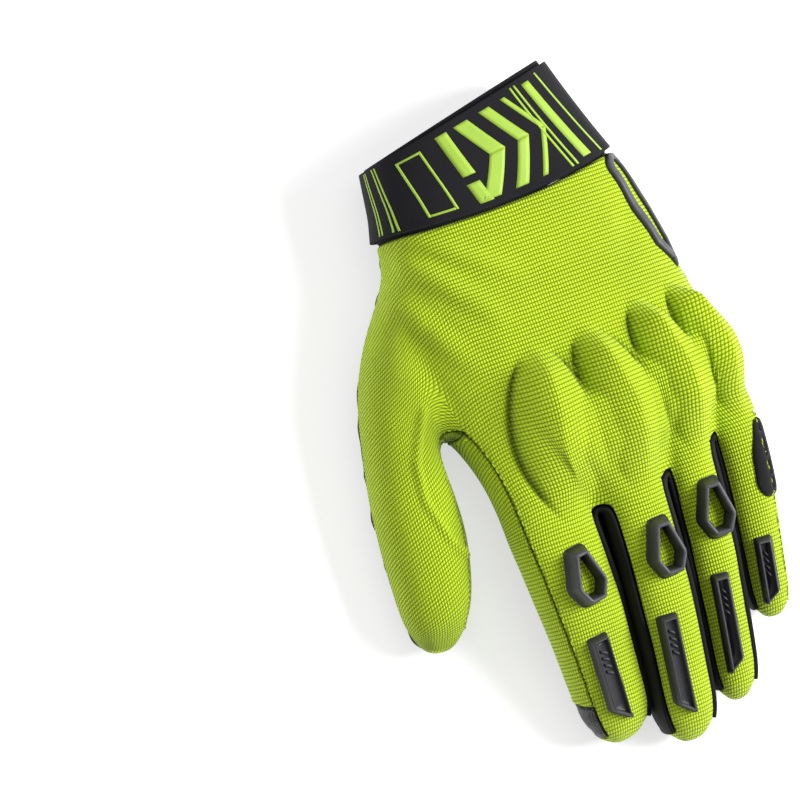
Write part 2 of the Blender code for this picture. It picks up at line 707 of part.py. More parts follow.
def hand_block(skin, name, offset, cutters):
    """The whole hand as one solid, swollen by an offset, to cut or trim what lies on it."""
    normals = skin.normals()
    mesh = bmesh.new()
    corners = [mesh.verts.new(point + normal * offset) for point, normal in zip(skin.points, normals)]
    for face in skin.faces():
        mesh.faces.new([corners[number] for number in face])
    following = {start: end for start, end in outline_edges(skin.faces())}
    loop = [next(iter(following))]
    while following[loop[-1]] != loop[0]:
        loop.append(following[loop[-1]])
    mesh.faces.new([corners[number] for number in reversed(loop)])
    data = bpy.data.meshes.new(name)
    mesh.to_mesh(data)
    mesh.free()
    block = bpy.data.objects.new(name, data)
    block.hide_render = True
    block.display_type = "WIRE"
    cutters.objects.link(block)
    return block


def flat_blank(name, outlines, low, high, bevel, placement):
    """A mesh of closed outlines drawn in the local XY plane and extruded from low to high."""
    curve = bpy.data.curves.new(name, "CURVE")
    curve.dimensions = "2D"
    curve.fill_mode = "BOTH"
    curve.extrude = (high - low) / 2 - bevel
    curve.bevel_depth = bevel
    curve.bevel_resolution = 0
    curve.offset = -bevel
    for outline in outlines:
        spline = curve.splines.new("POLY")
        spline.points.add(len(outline) - 1)
        for point, corner in zip(spline.points, outline):
            point.co = (corner[0], corner[1], 0, 1)
        spline.use_cyclic_u = True
    drawn = bpy.data.objects.new(name, curve)
    bpy.context.scene.collection.objects.link(drawn)
    bpy.context.view_layer.update()
    mesh = bpy.data.meshes.new_from_object(drawn.evaluated_get(bpy.context.evaluated_depsgraph_get()))
    bpy.data.objects.remove(drawn, do_unlink=True)
    bpy.data.curves.remove(curve)
    mesh.transform(placement @ Matrix.Translation((0, 0, (high + low) / 2)))
    shape = bmesh.new()
    shape.from_mesh(mesh)
    bmesh.ops.remove_doubles(shape, verts=shape.verts, dist=WELD_DISTANCE)
    bmesh.ops.recalc_face_normals(shape, faces=shape.faces)
    shape.to_mesh(mesh)
    shape.free()
    return mesh


def trim(item, operation, block):
    cut = item.modifiers.new(operation.lower(), "BOOLEAN")
    cut.operation = operation
    cut.object = block
    cut.solver = "EXACT"


def frame_placement(frame, across):
    """Local X runs across the finger, local Y towards its tip and local Z down into its back."""
    origin = frame.centre + frame.up * frame.half_height + frame.side * across
    axes = Matrix((frame.side, frame.forward, -frame.up)).transposed()
    return Matrix.Translation(origin) @ axes.to_4x4()


def frame_at(frames, share):
    """A finger's frame at any share of its length, mixed from the two rows beside it."""
    for number in range(len(FINGER_ROWS) - 1):
        low, high = FINGER_ROWS[number].along, FINGER_ROWS[number + 1].along
        if share <= high:
            break
    part = (share - low) / (high - low)
    return Frame(*[mix(a, b, part) for a, b in zip(frames[number], frames[number + 1])])


def finger_named(name):
    return next(finger for finger in FINGERS if finger.name == name)


def add_ring_guards(frames, block, collection):
    for guard in RING_GUARDS:
        finger = finger_named(guard.finger)
        frame = frame_at(frames[guard.finger], guard.along)
        outer = [(x * RING_GUARD_WIDTH, y * RING_GUARD_LENGTH) for x, y in RING_GUARD_OUTLINE]
        window = [(x * RING_GUARD_WINDOW, y * RING_GUARD_WINDOW) for x, y in outer]
        placement = frame_placement(frame, guard.across * finger.width)
        name = "knuckle_ring_" + guard.finger
        mesh = flat_blank(name, (outer, window), -RING_GUARD_HEIGHT, GUARD_ROOT, GUARD_BEVEL, placement)
        trim(mesh_object(name, mesh, GUARD_RUBBER, collection), "DIFFERENCE", block)


def add_bar_guards(frames, block, collection):
    for guard in BAR_GUARDS:
        finger = finger_named(guard.finger)
        frame = frame_at(frames[guard.finger], (guard.start + guard.end) / 2)
        half_width = BAR_WIDTH * guard.width / 2
        half_length = (guard.end - guard.start) * finger.length / 2
        slant = BAR_SLANT * half_width * finger.mirror_bar
        right_end, left_end = [half_length + side * slant - abs(slant) for side in (1, -1)]
        outline = ((-half_width, -half_length), (half_width, -half_length),
                   (half_width, right_end), (-half_width, left_end))
        name = "finger_bar_" + guard.finger
        placement = frame_placement(frame, 0)
        mesh = flat_blank(name, (outline,), -BAR_HEIGHT, GUARD_ROOT, GUARD_BEVEL, placement)
        trim(mesh_object(name, mesh, GUARD_RUBBER, collection), "DIFFERENCE", block)


def loop_outline(length, width):
    """A long loop, round towards the cuff and pointed towards the fingers."""
    half, radius = length / 2, width / 2
    arc = [(-radius * cos(pi * step / 6), -half + radius * (1 - sin(pi * step / 6))) for step in range(7)]
    shoulder, shoulder_along = radius * LOOP_TAPER_WIDTH, half * LOOP_TAPER_START
    return [*arc, (shoulder, shoulder_along), (0, half), (-shoulder, shoulder_along)]


def add_loop_trim(skin, hand, block, collection):
    """The long rubber loop over the edge of the wrist, beside the little finger's side."""
    first, last = len(CUFF_ROWS) - 1, len(CUFF_ROWS) + THUMB_FIRST_ROW + 1
    edge = [skin.points[ring[HAND_STEPS]] for ring in hand[first:last + 1]]
    start, end = edge[0], edge[-1]
    forward = (end - start).normalized()
    middle = start + forward * (LOOP_LENGTH / 2)
    outward = Vector((sin(LOOP_TILT), 0, cos(LOOP_TILT)))
    outward = (outward - forward * outward.dot(forward)).normalized()
    top = max((point - start).dot(outward) for point in edge) + LOOP_HEIGHT
    axes = Matrix((forward.cross(outward), forward, outward)).transposed()
    placement = Matrix.Translation(middle) @ axes.to_4x4()
    outer = loop_outline(LOOP_LENGTH, LOOP_WIDTH)
    inner = loop_outline(LOOP_LENGTH - 3 * LOOP_RIM, LOOP_WIDTH - 2 * LOOP_RIM)
    mesh = flat_blank("wrist_loop_trim", (outer, inner), -GUARD_ROOT, top, GUARD_BEVEL / 2, placement)
    trim(mesh_object("wrist_loop_trim", mesh, GUARD_RUBBER, collection), "DIFFERENCE", block)


def add_palm_pad(name, outline, swollen, block, collection):
    """A soft pad on the palm, which follows the leather and is flat where it rests."""
    drawn = [(x * PALM_WIDTH, -CUFF_LENGTH - y * PALM_LENGTH) for x, y in outline]
    mesh = flat_blank(name, (drawn,), 0, PALM_HEIGHT / 2, 0, Matrix())
    item = mesh_object(name, mesh, BLACK_SUEDE, collection)
    trim(item, "INTERSECT", swollen)
    trim(item, "DIFFERENCE", block)


def add_little_patch(frames, swollen, block, collection):
    """The suede patch round the outer side of the little finger's base."""
    frame = frames["little"][0]
    drawn = [(x * LITTLE_LENGTH, y * FINGER_HEIGHT) for x, y in LITTLE_PATCH_OUTLINE]
    axes = Matrix((Vector((0, -1, 0)), Vector((0, 0, 1)), Vector((-1, 0, 0)))).transposed()
    placement = Matrix.Translation(frame.centre) @ axes.to_4x4()
    mesh = flat_blank("little_patch", (drawn,), -LITTLE_WIDTH, 0, 0, placement)
    item = mesh_object("little_patch", mesh, BLACK_SUEDE, collection)
    trim(item, "INTERSECT", swollen)
    trim(item, "DIFFERENCE", block)


def origin_shift(items):
    """The move that puts the middle of the pieces' box over the origin, and its bottom on the ground."""
    bpy.context.view_layer.update()
    corners = [item.matrix_world @ Vector(corner) for item in items for corner in item.bound_box]
    low = Vector([min(corner[axis] for corner in corners) for axis in range(3)])
    high = Vector([max(corner[axis] for corner in corners) for axis in range(3)])
    middle = (low + high) / 2
    return Vector((-middle.x, -middle.y, -low.z))


def build_glove():
    clear_scene()
    glove = new_collection("motorcycle_glove")
    cutters = new_collection("cutters")
    skin, frames, hand = build_skin()
    knit = ["back_panel", "index_side_panel", "little_side_panel", "thumb_side_panel"]
    leather = ["palm_panel", "thumb_palm", "thumb_tip", *[finger.name + "_tip" for finger in FINGERS]]
    walls = [(name, KNIT_THICKNESS, LIME_KNIT) for name in knit]
    walls += [(name, LEATHER_THICKNESS, BLACK_LEATHER) for name in leather]
    walls += [(name, LEATHER_THICKNESS, BLACK_STRETCH) for name in fork_names()]
    walls += [("wrist_cuff", CUFF_THICKNESS, CUFF_CLOTH)]
    for name, thickness, finish in walls:
        add_panel(skin, name, -thickness, 0, finish, glove)
    add_strap(skin, hand, glove)
    block = hand_block(skin, "hand_block", PIECE_GAP, cutters)
    pad_block = hand_block(skin, "pad_block", PIECE_GAP + PAD_THICKNESS + PAD_CUT, cutters)
    patch_block = hand_block(skin, "patch_block", PIECE_GAP + PATCH_THICKNESS, cutters)
    add_ring_guards(frames, block, glove)
    add_bar_guards(frames, block, glove)
    add_loop_trim(skin, hand, block, glove)
    add_palm_pad("heel_pad", HEEL_PAD_OUTLINE, pad_block, block, glove)
    add_palm_pad("palm_pad", PALM_PAD_OUTLINE, pad_block, block, glove)
    add_little_patch(frames, patch_block, block, glove)
    shift = origin_shift(glove.objects)
    for item in [*glove.objects, *cutters.objects]:
        item.location = shift


build_glove()
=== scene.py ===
# A left-hand motorcycle glove lying on its palm: knit back, leather palm, rubber guards, printed strap.
import bpy
import bmesh
from contextlib import contextmanager
from math import ceil, copysign, cos, pi, radians, sin, tan
from mathutils import Matrix, Vector, noise
from mathutils.bvhtree import BVHTree
from mathutils.geometry import delaunay_2d_cdt


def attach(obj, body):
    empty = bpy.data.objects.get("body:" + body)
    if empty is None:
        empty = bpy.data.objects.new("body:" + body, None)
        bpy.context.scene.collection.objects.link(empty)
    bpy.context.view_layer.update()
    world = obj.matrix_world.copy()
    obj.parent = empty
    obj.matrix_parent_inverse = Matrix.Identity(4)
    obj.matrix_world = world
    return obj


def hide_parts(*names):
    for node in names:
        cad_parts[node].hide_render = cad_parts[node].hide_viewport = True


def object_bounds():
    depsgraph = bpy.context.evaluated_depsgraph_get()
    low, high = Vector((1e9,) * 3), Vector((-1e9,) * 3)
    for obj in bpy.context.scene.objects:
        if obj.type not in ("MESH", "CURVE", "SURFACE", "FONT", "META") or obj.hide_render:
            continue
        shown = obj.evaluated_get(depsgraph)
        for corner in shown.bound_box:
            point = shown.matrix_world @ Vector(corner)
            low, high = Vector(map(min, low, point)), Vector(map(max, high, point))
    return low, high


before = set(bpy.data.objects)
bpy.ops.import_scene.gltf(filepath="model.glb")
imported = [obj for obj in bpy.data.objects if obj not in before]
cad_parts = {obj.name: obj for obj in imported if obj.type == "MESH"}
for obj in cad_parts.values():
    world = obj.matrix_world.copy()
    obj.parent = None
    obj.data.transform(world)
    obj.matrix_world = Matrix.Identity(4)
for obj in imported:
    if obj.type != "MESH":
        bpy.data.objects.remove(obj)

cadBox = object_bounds()


def mix(a, b, share):
    return a + (b - a) * share


def smooth(value, low, high):
    share = min(max((value - low) / (high - low), 0), 1)
    return share * share * (3 - 2 * share)


def place(across, along, height):
    return Vector((across, -along, height))


def linked(name, data):
    item = bpy.data.objects.new(name, data)
    bpy.context.scene.collection.objects.link(item)
    return item


@contextmanager
def editing(mesh):  # a mesh as bmesh, written back afterwards
    shape = bmesh.new()
    shape.from_mesh(mesh)
    yield shape
    shape.to_mesh(mesh)
    shape.free()


def subdivided(mesh, levels):
    cage = linked(mesh.name, mesh)
    modifier = cage.modifiers.new("subdivide", "SUBSURF")
    modifier.levels = modifier.render_levels = levels
    fine = bpy.data.meshes.new_from_object(cage.evaluated_get(bpy.context.evaluated_depsgraph_get()))
    bpy.data.objects.remove(cage, do_unlink=True)
    return fine


def meshFrom(name, points, faces):
    mesh = bpy.data.meshes.new(name)
    mesh.from_pydata([tuple(point) for point in points], [], faces)
    return mesh


def setCloth(mesh, places):  # where each point lies on its flat cloth, in metres, as a UV map
    layer = mesh.uv_layers.new(name="cloth")
    for loop in mesh.loops:
        layer.data[loop.index].uv = places[loop.vertex_index]


def setPaintedShade(mesh, values):  # painted shade for each point, as dark as it lies in a groove or crease, from 0 to 1
    mesh.attributes.new("sunk", "FLOAT", "POINT").data.foreach_set("value", values)


# The glove's outer face, as rings of points with quads sorted into sewn panels.
# Rows are shares of the sizes beside them, and "along" runs from the cuff to the fingertips.
hand = {
    "cuffLength": 0.036, "cuffSlant": 0.016, "palmLength": 0.108,
    "wristWidth": 0.088, "wristHeight": 0.044, "palmWidth": 0.100, "palmHeight": 0.046,
    "lift": 0.0022, "offset": 0.1315, "seam": radians(62), "roundness": 2.6, "thumbRows": (1, 5),
    "clothSlant": 0.42, "slantFrom": 0.32,
    "cuffRows": (  # along, left, right, slant, arch
        (0.000, -0.412, 0.380, 1.00, 0.00),
        (0.333, -0.428, 0.425, 0.73, 0.04),
        (0.667, -0.445, 0.475, 0.46, 0.08),
        (1.000, -0.475, 0.530, 0.20, 0.12),
    ),
    "palmRows": (  # along, left, right, bottom, top, merge
        (0.093, -0.425, 0.500, -0.03, 0.98, 0.00),
        (0.185, -0.500, 0.525, -0.06, 0.99, 0.00),
        (0.296, -0.505, 0.545, -0.06, 1.00, 0.00),
        (0.407, -0.485, 0.563, -0.05, 1.00, 0.00),
        (0.519, -0.460, 0.580, -0.02, 1.00, 0.00),
        (0.620, -0.435, 0.600, 0.04, 0.99, 0.04),
        (0.713, -0.400, 0.615, 0.11, 0.98, 0.16),
        (0.806, -0.378, 0.617, 0.19, 0.97, 0.38),
        (0.907, -0.370, 0.615, 0.27, 0.96, 0.70),
    ),
}
fingerCut = {
    "height": 0.024, "spacing": 0.0020, "seam": radians(52), "roundness": 2.3, "fade": 0.35,
    "steps": 4, "sideSteps": 3, "tipRow": 6, "capRows": 3, "capFall": 0.3, "capReach": 1.35,
    "rows": (  # along, width, height, drop
        (0.000, 1.00, 1.00, 0.00), (0.075, 0.99, 1.00, 0.03), (0.180, 1.00, 1.00, 0.09),
        (0.300, 1.01, 0.99, 0.18), (0.420, 1.01, 0.97, 0.30), (0.540, 0.99, 0.95, 0.45),
        (0.660, 0.98, 0.93, 0.61), (0.770, 0.98, 0.91, 0.77), (0.875, 0.95, 0.86, 0.91),
        (0.950, 0.76, 0.68, 0.98),
    ),
    "all": (  # name, length, width, setback, middle, height, lean, roll, taper
        ("index", 0.0770, 0.0320, 0.000, 0.65, 1.00, 3.8, -6, 0.78),
        ("middle", 0.0865, 0.0240, 0.009, 0.69, 1.02, -1.5, 0, 0.92),
        ("ring", 0.0850, 0.0198, 0.060, 0.64, 0.94, -3.3, 6, 0.86),
        ("little", 0.0695, 0.0187, 0.120, 0.59, 0.80, -2.5, 12, 0.86),
    ),
}
thumbCut = {
    "length": 0.0685, "width": 0.031, "height": 0.029, "tipRow": 5, "capReach": 1.3,
    "rows": (  # outer along, outer, inner along, inner, bottom, top
        (0.070, 0.435, 0.040, 0.090, 0.04, 1.26), (0.208, 0.726, 0.100, 0.105, 0.01, 1.16),
        (0.381, 0.887, 0.175, 0.085, 0.00, 1.08), (0.537, 1.000, 0.277, 0.065, 0.00, 1.02),
        (0.675, 1.055, 0.467, 0.070, 0.00, 0.98), (0.788, 1.080, 0.650, 0.160, 0.00, 0.94),
        (0.874, 1.087, 0.810, 0.274, 0.02, 0.86), (0.935, 1.032, 0.920, 0.435, 0.08, 0.72),
    ),
}
steps, sideSteps = fingerCut["steps"], fingerCut["sideSteps"]
handSteps = steps * 4 + 3
ringRight = steps + 1
ringUnder = ringRight + sideSteps - 1
ringLeft = ringUnder + steps + 1
skin = {"points": [], "cloth": [], "quads": [], "panels": []}


def rounded(angle, power):  # a point on a rounded box of half size 1, the angle taken from straight up
    side, up = sin(angle), cos(angle)
    return copysign(abs(side) ** (2 / power), side), copysign(abs(up) ** (2 / power), up)


def fingerAngles():
    shares = [step / steps for step in range(steps + 1)]
    return ringAngles(fingerCut["seam"], shares, shares)


def ringAngles(seam, top, bottom):
    def between(low, high):
        return [mix(low, high, step / sideSteps) for step in range(1, sideSteps)]
    return ([mix(-seam, seam, share) for share in top] + between(seam, pi - seam)
            + [mix(pi - seam, pi + seam, share) for share in bottom] + between(pi + seam, 2 * pi - seam))


def addRing(ring, topCount, slant=0):  # its cloth runs across from the back's middle, and along the hand
    arc = [0]
    for a, b in zip(ring, ring[1:]):
        arc.append(arc[-1] + (b - a).length)
    around = arc[-1] + (ring[0] - ring[-1]).length
    low, high = (topCount - 1) // 2, ceil((topCount - 1) / 2)
    middle, middleX = (arc[low] + arc[high]) / 2, (ring[low].x + ring[high].x) / 2
    first = len(skin["points"])
    for point, run in zip(ring, arc):
        offset = run - middle
        if offset > around / 2:
            offset -= around
        across = middleX + offset
        skin["points"].append(point)
        turned = min(across + hand["palmWidth"] * hand["slantFrom"], 0)
        skin["cloth"].append((across, -point.y + slant * turned))
    return list(range(first, len(skin["points"])))


def addQuad(panel, quad):
    skin["quads"].append(quad)
    skin["panels"].append(panel)


def addBand(near, far, names):
    for step, name in enumerate(names):
        after = (step + 1) % len(near)
        if name:
            addQuad(name, (near[step], far[step], far[after], near[after]))


def fingerFrames(finger, leftEdge):
    _, length, width, setback, middle, height, lean, roll, taper = finger
    rows = fingerCut["rows"]
    tipHeight = height * fingerCut["height"] * rows[-2][2] / 2
    start = hand["cuffLength"] + hand["palmLength"] * (1 - setback)
    centres = [
        place(leftEdge + width / 2 + tan(radians(lean)) * length * along, start + length * along,
              mix(middle * hand["palmHeight"], tipHeight, drop))
        for along, _, _, drop in rows
    ]
    frames = []
    for number, (along, rowWidth, rowHeight, _) in enumerate(rows):
        forward = centres[min(number + 1, len(rows) - 1)] - centres[max(number - 1, 0)]
        forward.normalize()
        side = Vector((0, 0, 1)).cross(forward).normalized()
        turn = Matrix.Rotation(radians(roll), 3, forward)
        frames.append({
            "centre": centres[number], "side": turn @ side, "up": turn @ forward.cross(side),
            "forward": forward, "halfWidth": width * rowWidth * mix(1, taper, along) / 2,
            "halfHeight": height * fingerCut["height"] * rowHeight / 2,
        })
    return frames


def fingerRing(shape, leftSlant, rightSlant):
    ring = []
    for angle in fingerAngles():
        side, up = rounded(angle, fingerCut["roundness"])
        point = shape["centre"] + shape["side"] * side * shape["halfWidth"]
        point = point + shape["up"] * up * shape["halfHeight"]
        point.y -= abs(side) * (leftSlant if side < 0 else rightSlant)
        point.z = max(point.z, 0)
        ring.append(point)
    return ring


def joinBases(rings):
    top = [point for ring in rings for point in ring[:ringRight]]
    bottom = [point for ring in reversed(rings) for point in ring[ringUnder:ringLeft]]
    return top + rings[-1][ringRight:ringUnder] + bottom + rings[0][ringLeft:]


def handRings(base):
    count = handSteps + 1
    spread = []
    for row in (base[:count], base[count + sideSteps - 1:2 * count + sideSteps - 1]):
        spread.append([(point.x - row[0].x) / (row[-1].x - row[0].x) for point in row])
    angles = ringAngles(hand["seam"], *spread)
    rings = []
    for along, left, right, slant, arch in hand["cuffRows"]:
        middle, half = (left + right) / 2 * hand["wristWidth"], (right - left) / 2 * hand["wristWidth"]
        ring = []
        for angle in angles:
            side, up = rounded(angle, hand["roundness"])
            reach = hand["cuffLength"] * (along - arch * side * side) - hand["cuffSlant"] / 2 * slant * side
            ring.append(place(middle + half * side, reach, hand["wristHeight"] / 2 * (1 + up)))
        rings.append(ring)
    wrist = rings[-1]
    for along, left, right, bottom, top, merge in hand["palmRows"]:
        middle, half = (left + right) / 2 * hand["palmWidth"], (right - left) / 2 * hand["palmWidth"]
        level, rise = (top + bottom) / 2 * hand["palmHeight"], (top - bottom) / 2 * hand["palmHeight"]
        ring = []
        for angle, start, end in zip(angles, wrist, base):
            side, up = rounded(angle, hand["roundness"])
            point = Vector((middle + half * side, 0, level + rise * up)).lerp(end, merge)
            point.y = mix(start.y, end.y, along)
            ring.append(point)
        rings.append(ring)
    for ring in rings:
        for point in ring:
            point.z = max(point.z, hand["lift"])
    return rings


def addCap(ring, reach, names):
    points, rows = skin["points"], [ring[:ringRight]]
    for row in range(1, fingerCut["capRows"]):
        start, end = ring[ringLeft + sideSteps - 1 - row], ring[ringRight + row - 1]
        line = [start]
        for column in range(1, steps):
            share = column / steps
            across = points[start].lerp(points[end], share)
            above, below = points[ring[column]], points[ring[ringLeft - 1 - column]]
            upright = above.lerp(below, row / fingerCut["capRows"])
            bulge = 1 - fingerCut["capFall"] * (2 * share - 1) ** 2
            point = (across + upright) / 2 + reach * bulge
            skin["points"].append(point)
            skin["cloth"].append((skin["cloth"][ring[column]][0], -point.y))
            line.append(len(skin["points"]) - 1)
        rows.append(line + [end])
    rows.append(list(reversed(ring[ringUnder:ringLeft])))
    for row, name in enumerate(names):
        for column in range(steps):
            addQuad(name, (rows[row][column], rows[row + 1][column],
                           rows[row + 1][column + 1], rows[row][column + 1]))


def addThumb(rows):
    points, last = skin["points"], len(rows[0]) - 1
    # The points round the opening that the thumb grows from
    hole = ([row[0] for row in rows] + [rows[-1][last], rows[-1][last - 1]]
            + [row[last - sideSteps + 1] for row in reversed(rows)] + [rows[0][last - 1], rows[0][last]])
    webAlong, startAlong = -points[rows[-1][last - 1]].y, -points[rows[0][last - 1]].y
    tipAlong = webAlong + thumbCut["length"]
    edge = min(points[number].x for number in hole[steps:steps + sideSteps + 1])
    rings = [hole]
    for outerAlong, outer, innerAlong, inner, bottom, top in thumbCut["rows"]:
        far = Vector((edge - outer * thumbCut["width"], -mix(startAlong, tipAlong, outerAlong), 0))
        near = Vector((edge - inner * thumbCut["width"], -mix(webAlong, tipAlong, innerAlong), 0))
        centre = (far + near) / 2
        centre.z = (bottom + top) / 2 * thumbCut["height"]
        ring = []
        for angle in fingerAngles():
            side, up = rounded(angle, fingerCut["roundness"])
            point = centre + (near - far) / 2 * side
            point.z += up * (top - bottom) / 2 * thumbCut["height"]
            ring.append(point)
        rings.append(addRing(ring, steps + 1, hand["clothSlant"]))
    for step, (near, far) in enumerate(zip(rings, rings[1:])):
        below = "thumb_tip" if step >= thumbCut["tipRow"] else "thumb_palm"
        addBand(near, far, ["back_panel"] * steps + ["thumb_side_panel"] * sideSteps
                + [below] * (steps + 1) + ["back_panel"] * (sideSteps - 1))
    forward = sum((points[n] for n in rings[-1]), Vector()) - sum((points[n] for n in rings[-2]), Vector())
    forward.normalize()
    reach = forward * thumbCut["length"] * (1 - thumbCut["rows"][-1][2]) * thumbCut["capReach"]
    addCap(rings[-1], reach, ["back_panel", "back_panel", "thumb_tip"])


def buildCage():
    names = [finger[0] for finger in fingerCut["all"]]
    forks = ["fork_{}_{}".format(a, b) for a, b in zip(names, names[1:])]
    widths = [finger[2] for finger in fingerCut["all"]]
    edge = hand["offset"] * hand["palmWidth"] - (sum(widths) + fingerCut["spacing"] * 3) / 2
    setbacks = [finger[3] for finger in fingerCut["all"]]
    webs = [(a + b) / 2 for a, b in zip(setbacks, setbacks[1:])]
    frames, rings = {}, {}
    for finger, left, right in zip(fingerCut["all"], [setbacks[0], *webs], [*webs, setbacks[-1]]):
        frames[finger[0]] = fingerFrames(finger, edge)
        edge += finger[2] + fingerCut["spacing"]
        slants = [(finger[3] - web) * hand["palmLength"] for web in (left, right)]
        rings[finger[0]] = []
        for shape, row in zip(frames[finger[0]], fingerCut["rows"]):
            fade = max(1 - row[0] / fingerCut["fade"], 0)
            ring = fingerRing(shape, *[slant * fade for slant in slants])
            rings[finger[0]].append(addRing(ring, steps + 1))
    bases = [rings[name][0] for name in names]
    baseNumbers = joinBases(bases)
    palmRings = handRings([skin["points"][n] for n in baseNumbers])
    palm = [addRing(ring, handSteps + 1, hand["clothSlant"]) for ring in palmRings]
    palm.append(baseNumbers)
    cuffEnd = len(hand["cuffRows"]) - 1
    thumbStart, thumbEnd = [cuffEnd + 1 + row for row in hand["thumbRows"]]
    for step, (near, far) in enumerate(zip(palm, palm[1:])):
        across = ["back_panel"] * (handSteps + 1) + ["palm_panel"] * (sideSteps - 1 + handSteps)
        if step < cuffEnd:
            panels = ["wrist_cuff"] * len(near)
        elif step < thumbStart:
            panels = across + ["palm_panel", "back_panel", "back_panel"]
        elif step < thumbEnd:
            panels = across + [None] * sideSteps
        else:
            panels = across + ["index_side_panel"] * sideSteps
        addBand(near, far, panels)
    for ring, after, fork in zip(bases, bases[1:], forks):
        near = ring[steps:steps + sideSteps + 1]
        far = [after[0], *reversed(after[ringLeft:])]
        far.append(after[ringLeft - 1])
        for step in range(sideSteps):
            addQuad(fork, (near[step], near[step + 1], far[step + 1], far[step]))
    sides = ["index_side_panel", *forks, "little_side_panel"]
    for finger, leftName, rightName in zip(fingerCut["all"], sides, sides[1:]):
        name = finger[0]
        for row in range(len(rings[name]) - 1):
            under = name + "_tip" if row >= fingerCut["tipRow"] else "palm_panel"
            left = "index_tip" if name == "index" and row > fingerCut["tipRow"] else leftName
            addBand(rings[name][row], rings[name][row + 1], ["back_panel"] * steps
                    + [rightName] * sideSteps + [under] * steps + [left] * sideSteps)
        end = frames[name][-1]
        reach = end["forward"] * finger[1] * (1 - fingerCut["rows"][-1][0]) * fingerCut["capReach"]
        addCap(rings[name][-1], reach, ["back_panel", "back_panel", name + "_tip"])
    addThumb(palm[thumbStart:thumbEnd + 1])
    low = [min(point[axis] for point in skin["points"]) for axis in range(2)]
    shift = Vector((cadBox[0].x - low[0], cadBox[0].y - low[1], 0))
    return frames, palm, shift


# Raised and sunk detail of the back, as lines across the hand's own plane
knuckles = {
    "height": 0.0092, "flank": 0.70, "ridge": 0.45, "skew": 0.13, "bend": 0.45, "narrowest": 0.16,
    "saddle": 0.62, "saddleWidth": 1.5, "creaseDepth": 0.0014, "creaseWidth": 0.15,
    "creaseFade": (0.25, 0.6),  # how far out the guard stands where its creases fade
    # Where along a bump its swell, its saddles and its creases come and go
    "rise": (-0.02, 0.16), "fall": (0.54, 1.0), "saddleRise": (0.24, 0.42), "saddleFall": (0.62, 0.84),
    "creaseRise": (0.0, 0.12), "innerCreaseFall": (0.22, 0.38), "outerCreaseFall": (0.75, 1.0),
    "bumps": (  # start across, along, middle across, end across, along, width
        (-0.0100, 0.085, -0.0118, -0.0140, 0.1450, 0.0285), (0.0095, 0.084, 0.0143, 0.0118, 0.1440, 0.0240),
        (0.0300, 0.081, 0.0362, 0.0362, 0.1390, 0.0205), (0.0455, 0.080, 0.0525, 0.0553, 0.1320, 0.0165),
    ),
}
folds = {
    "lines": (  # start across, start along, end across, end along, width, height
        (-0.047, 0.034, -0.014, 0.074, 0.0065, 0.0021), (-0.040, 0.033, -0.002, 0.062, 0.0055, 0.0015),
        (-0.052, 0.044, -0.028, 0.088, 0.0060, 0.0014), (0.050, 0.040, 0.030, 0.070, 0.0080, -0.0008),
        (-0.038, 0.096, -0.050, 0.128, 0.0080, 0.0010),
    ),
    "waves": 0.00035, "waveScale": 46,
    "facing": (0.15, 0.6),  # how much a spot faces up where the raised detail starts and is whole
    "welt": ((-0.0500, 0.0920), (-0.0535, 0.0985), (-0.0574, 0.1073), (-0.0588, 0.1204), (-0.0547, 0.1349),
             (-0.0500, 0.1421)),
    "weltWidth": 0.0022, "weltHeight": 0.0012,
}
seams = {"groove": 0.00085, "puff": 0.00025, "wrinkle": 0.00075, "grain": (55, 150, 55), "forkPuff": 0.0013}
thickness = {"knit": 0.0016, "leather": 0.0013, "cuff": 0.0021}


def knuckleLift(x, along):  # how far the guard stands out, and how deep the spot lies in a crease
    lift, crease = 0, 0
    bend, skew, last = knuckles["bend"], knuckles["skew"], len(knuckles["bumps"]) - 1
    for number, (startX, start, middleX, endX, end, width) in enumerate(knuckles["bumps"]):
        share = (along - start) / (end - start)
        if not -0.02 < share < 1.05:
            continue
        share = min(max(share, 0), 1)
        if share < bend:
            line = mix(startX, middleX, share / bend)
        else:
            line = mix(middleX, endX, (share - bend) / (1 - bend))
        half = width / 2 * mix(knuckles["narrowest"], 1, sin(pi * share ** 0.9) ** 0.7)
        side = (x - line) / half - skew
        offset = abs(side) / (1 + copysign(skew, -side))
        swell = smooth(share, *knuckles["rise"]) * (1 - smooth(share, *knuckles["fall"]))
        if offset < 1:
            dome = (1 - offset * offset) ** knuckles["flank"]
            lift = max(lift, swell * mix(dome, 1 - offset, knuckles["ridge"]))
        notch = smooth(share, *knuckles["creaseRise"])
        hasNeighbour = number > 0 if side < 0 else number < last
        if hasNeighbour:  # the crease between two bumps opens into a saddle
            notch *= 1 - smooth(share, *knuckles["innerCreaseFall"])
            if offset < knuckles["saddleWidth"]:
                saddle = knuckles["saddle"] * (1 - (offset / knuckles["saddleWidth"]) ** 2) ** 0.6
                saddle *= smooth(share, *knuckles["saddleRise"])
                lift = max(lift, saddle * (1 - smooth(share, *knuckles["saddleFall"])))
        else:
            notch *= 1 - smooth(share, *knuckles["outerCreaseFall"])
        crease = max(crease, (1 - abs(offset - 1) / knuckles["creaseWidth"]) * notch)
    crease *= 1 - smooth(lift, *knuckles["creaseFade"])
    return lift * knuckles["height"] - crease * knuckles["creaseDepth"], crease


def hump(offset):  # 1 on the middle line of a fold, 0 from its edge on
    return 0.5 + 0.5 * cos(pi * offset) if offset < 1 else 0


def foldLift(x, along):
    lift = 0
    for startX, start, endX, end, width, height in folds["lines"]:
        runX, run = endX - startX, end - start
        length = (runX * runX + run * run) ** 0.5
        share = ((x - startX) * runX + (along - start) * run) / length ** 2
        offset = abs((x - startX) * run - (along - start) * runX) / length / width
        if 0 < share < 1:
            lift += height * sin(pi * share) * hump(offset)
    return lift


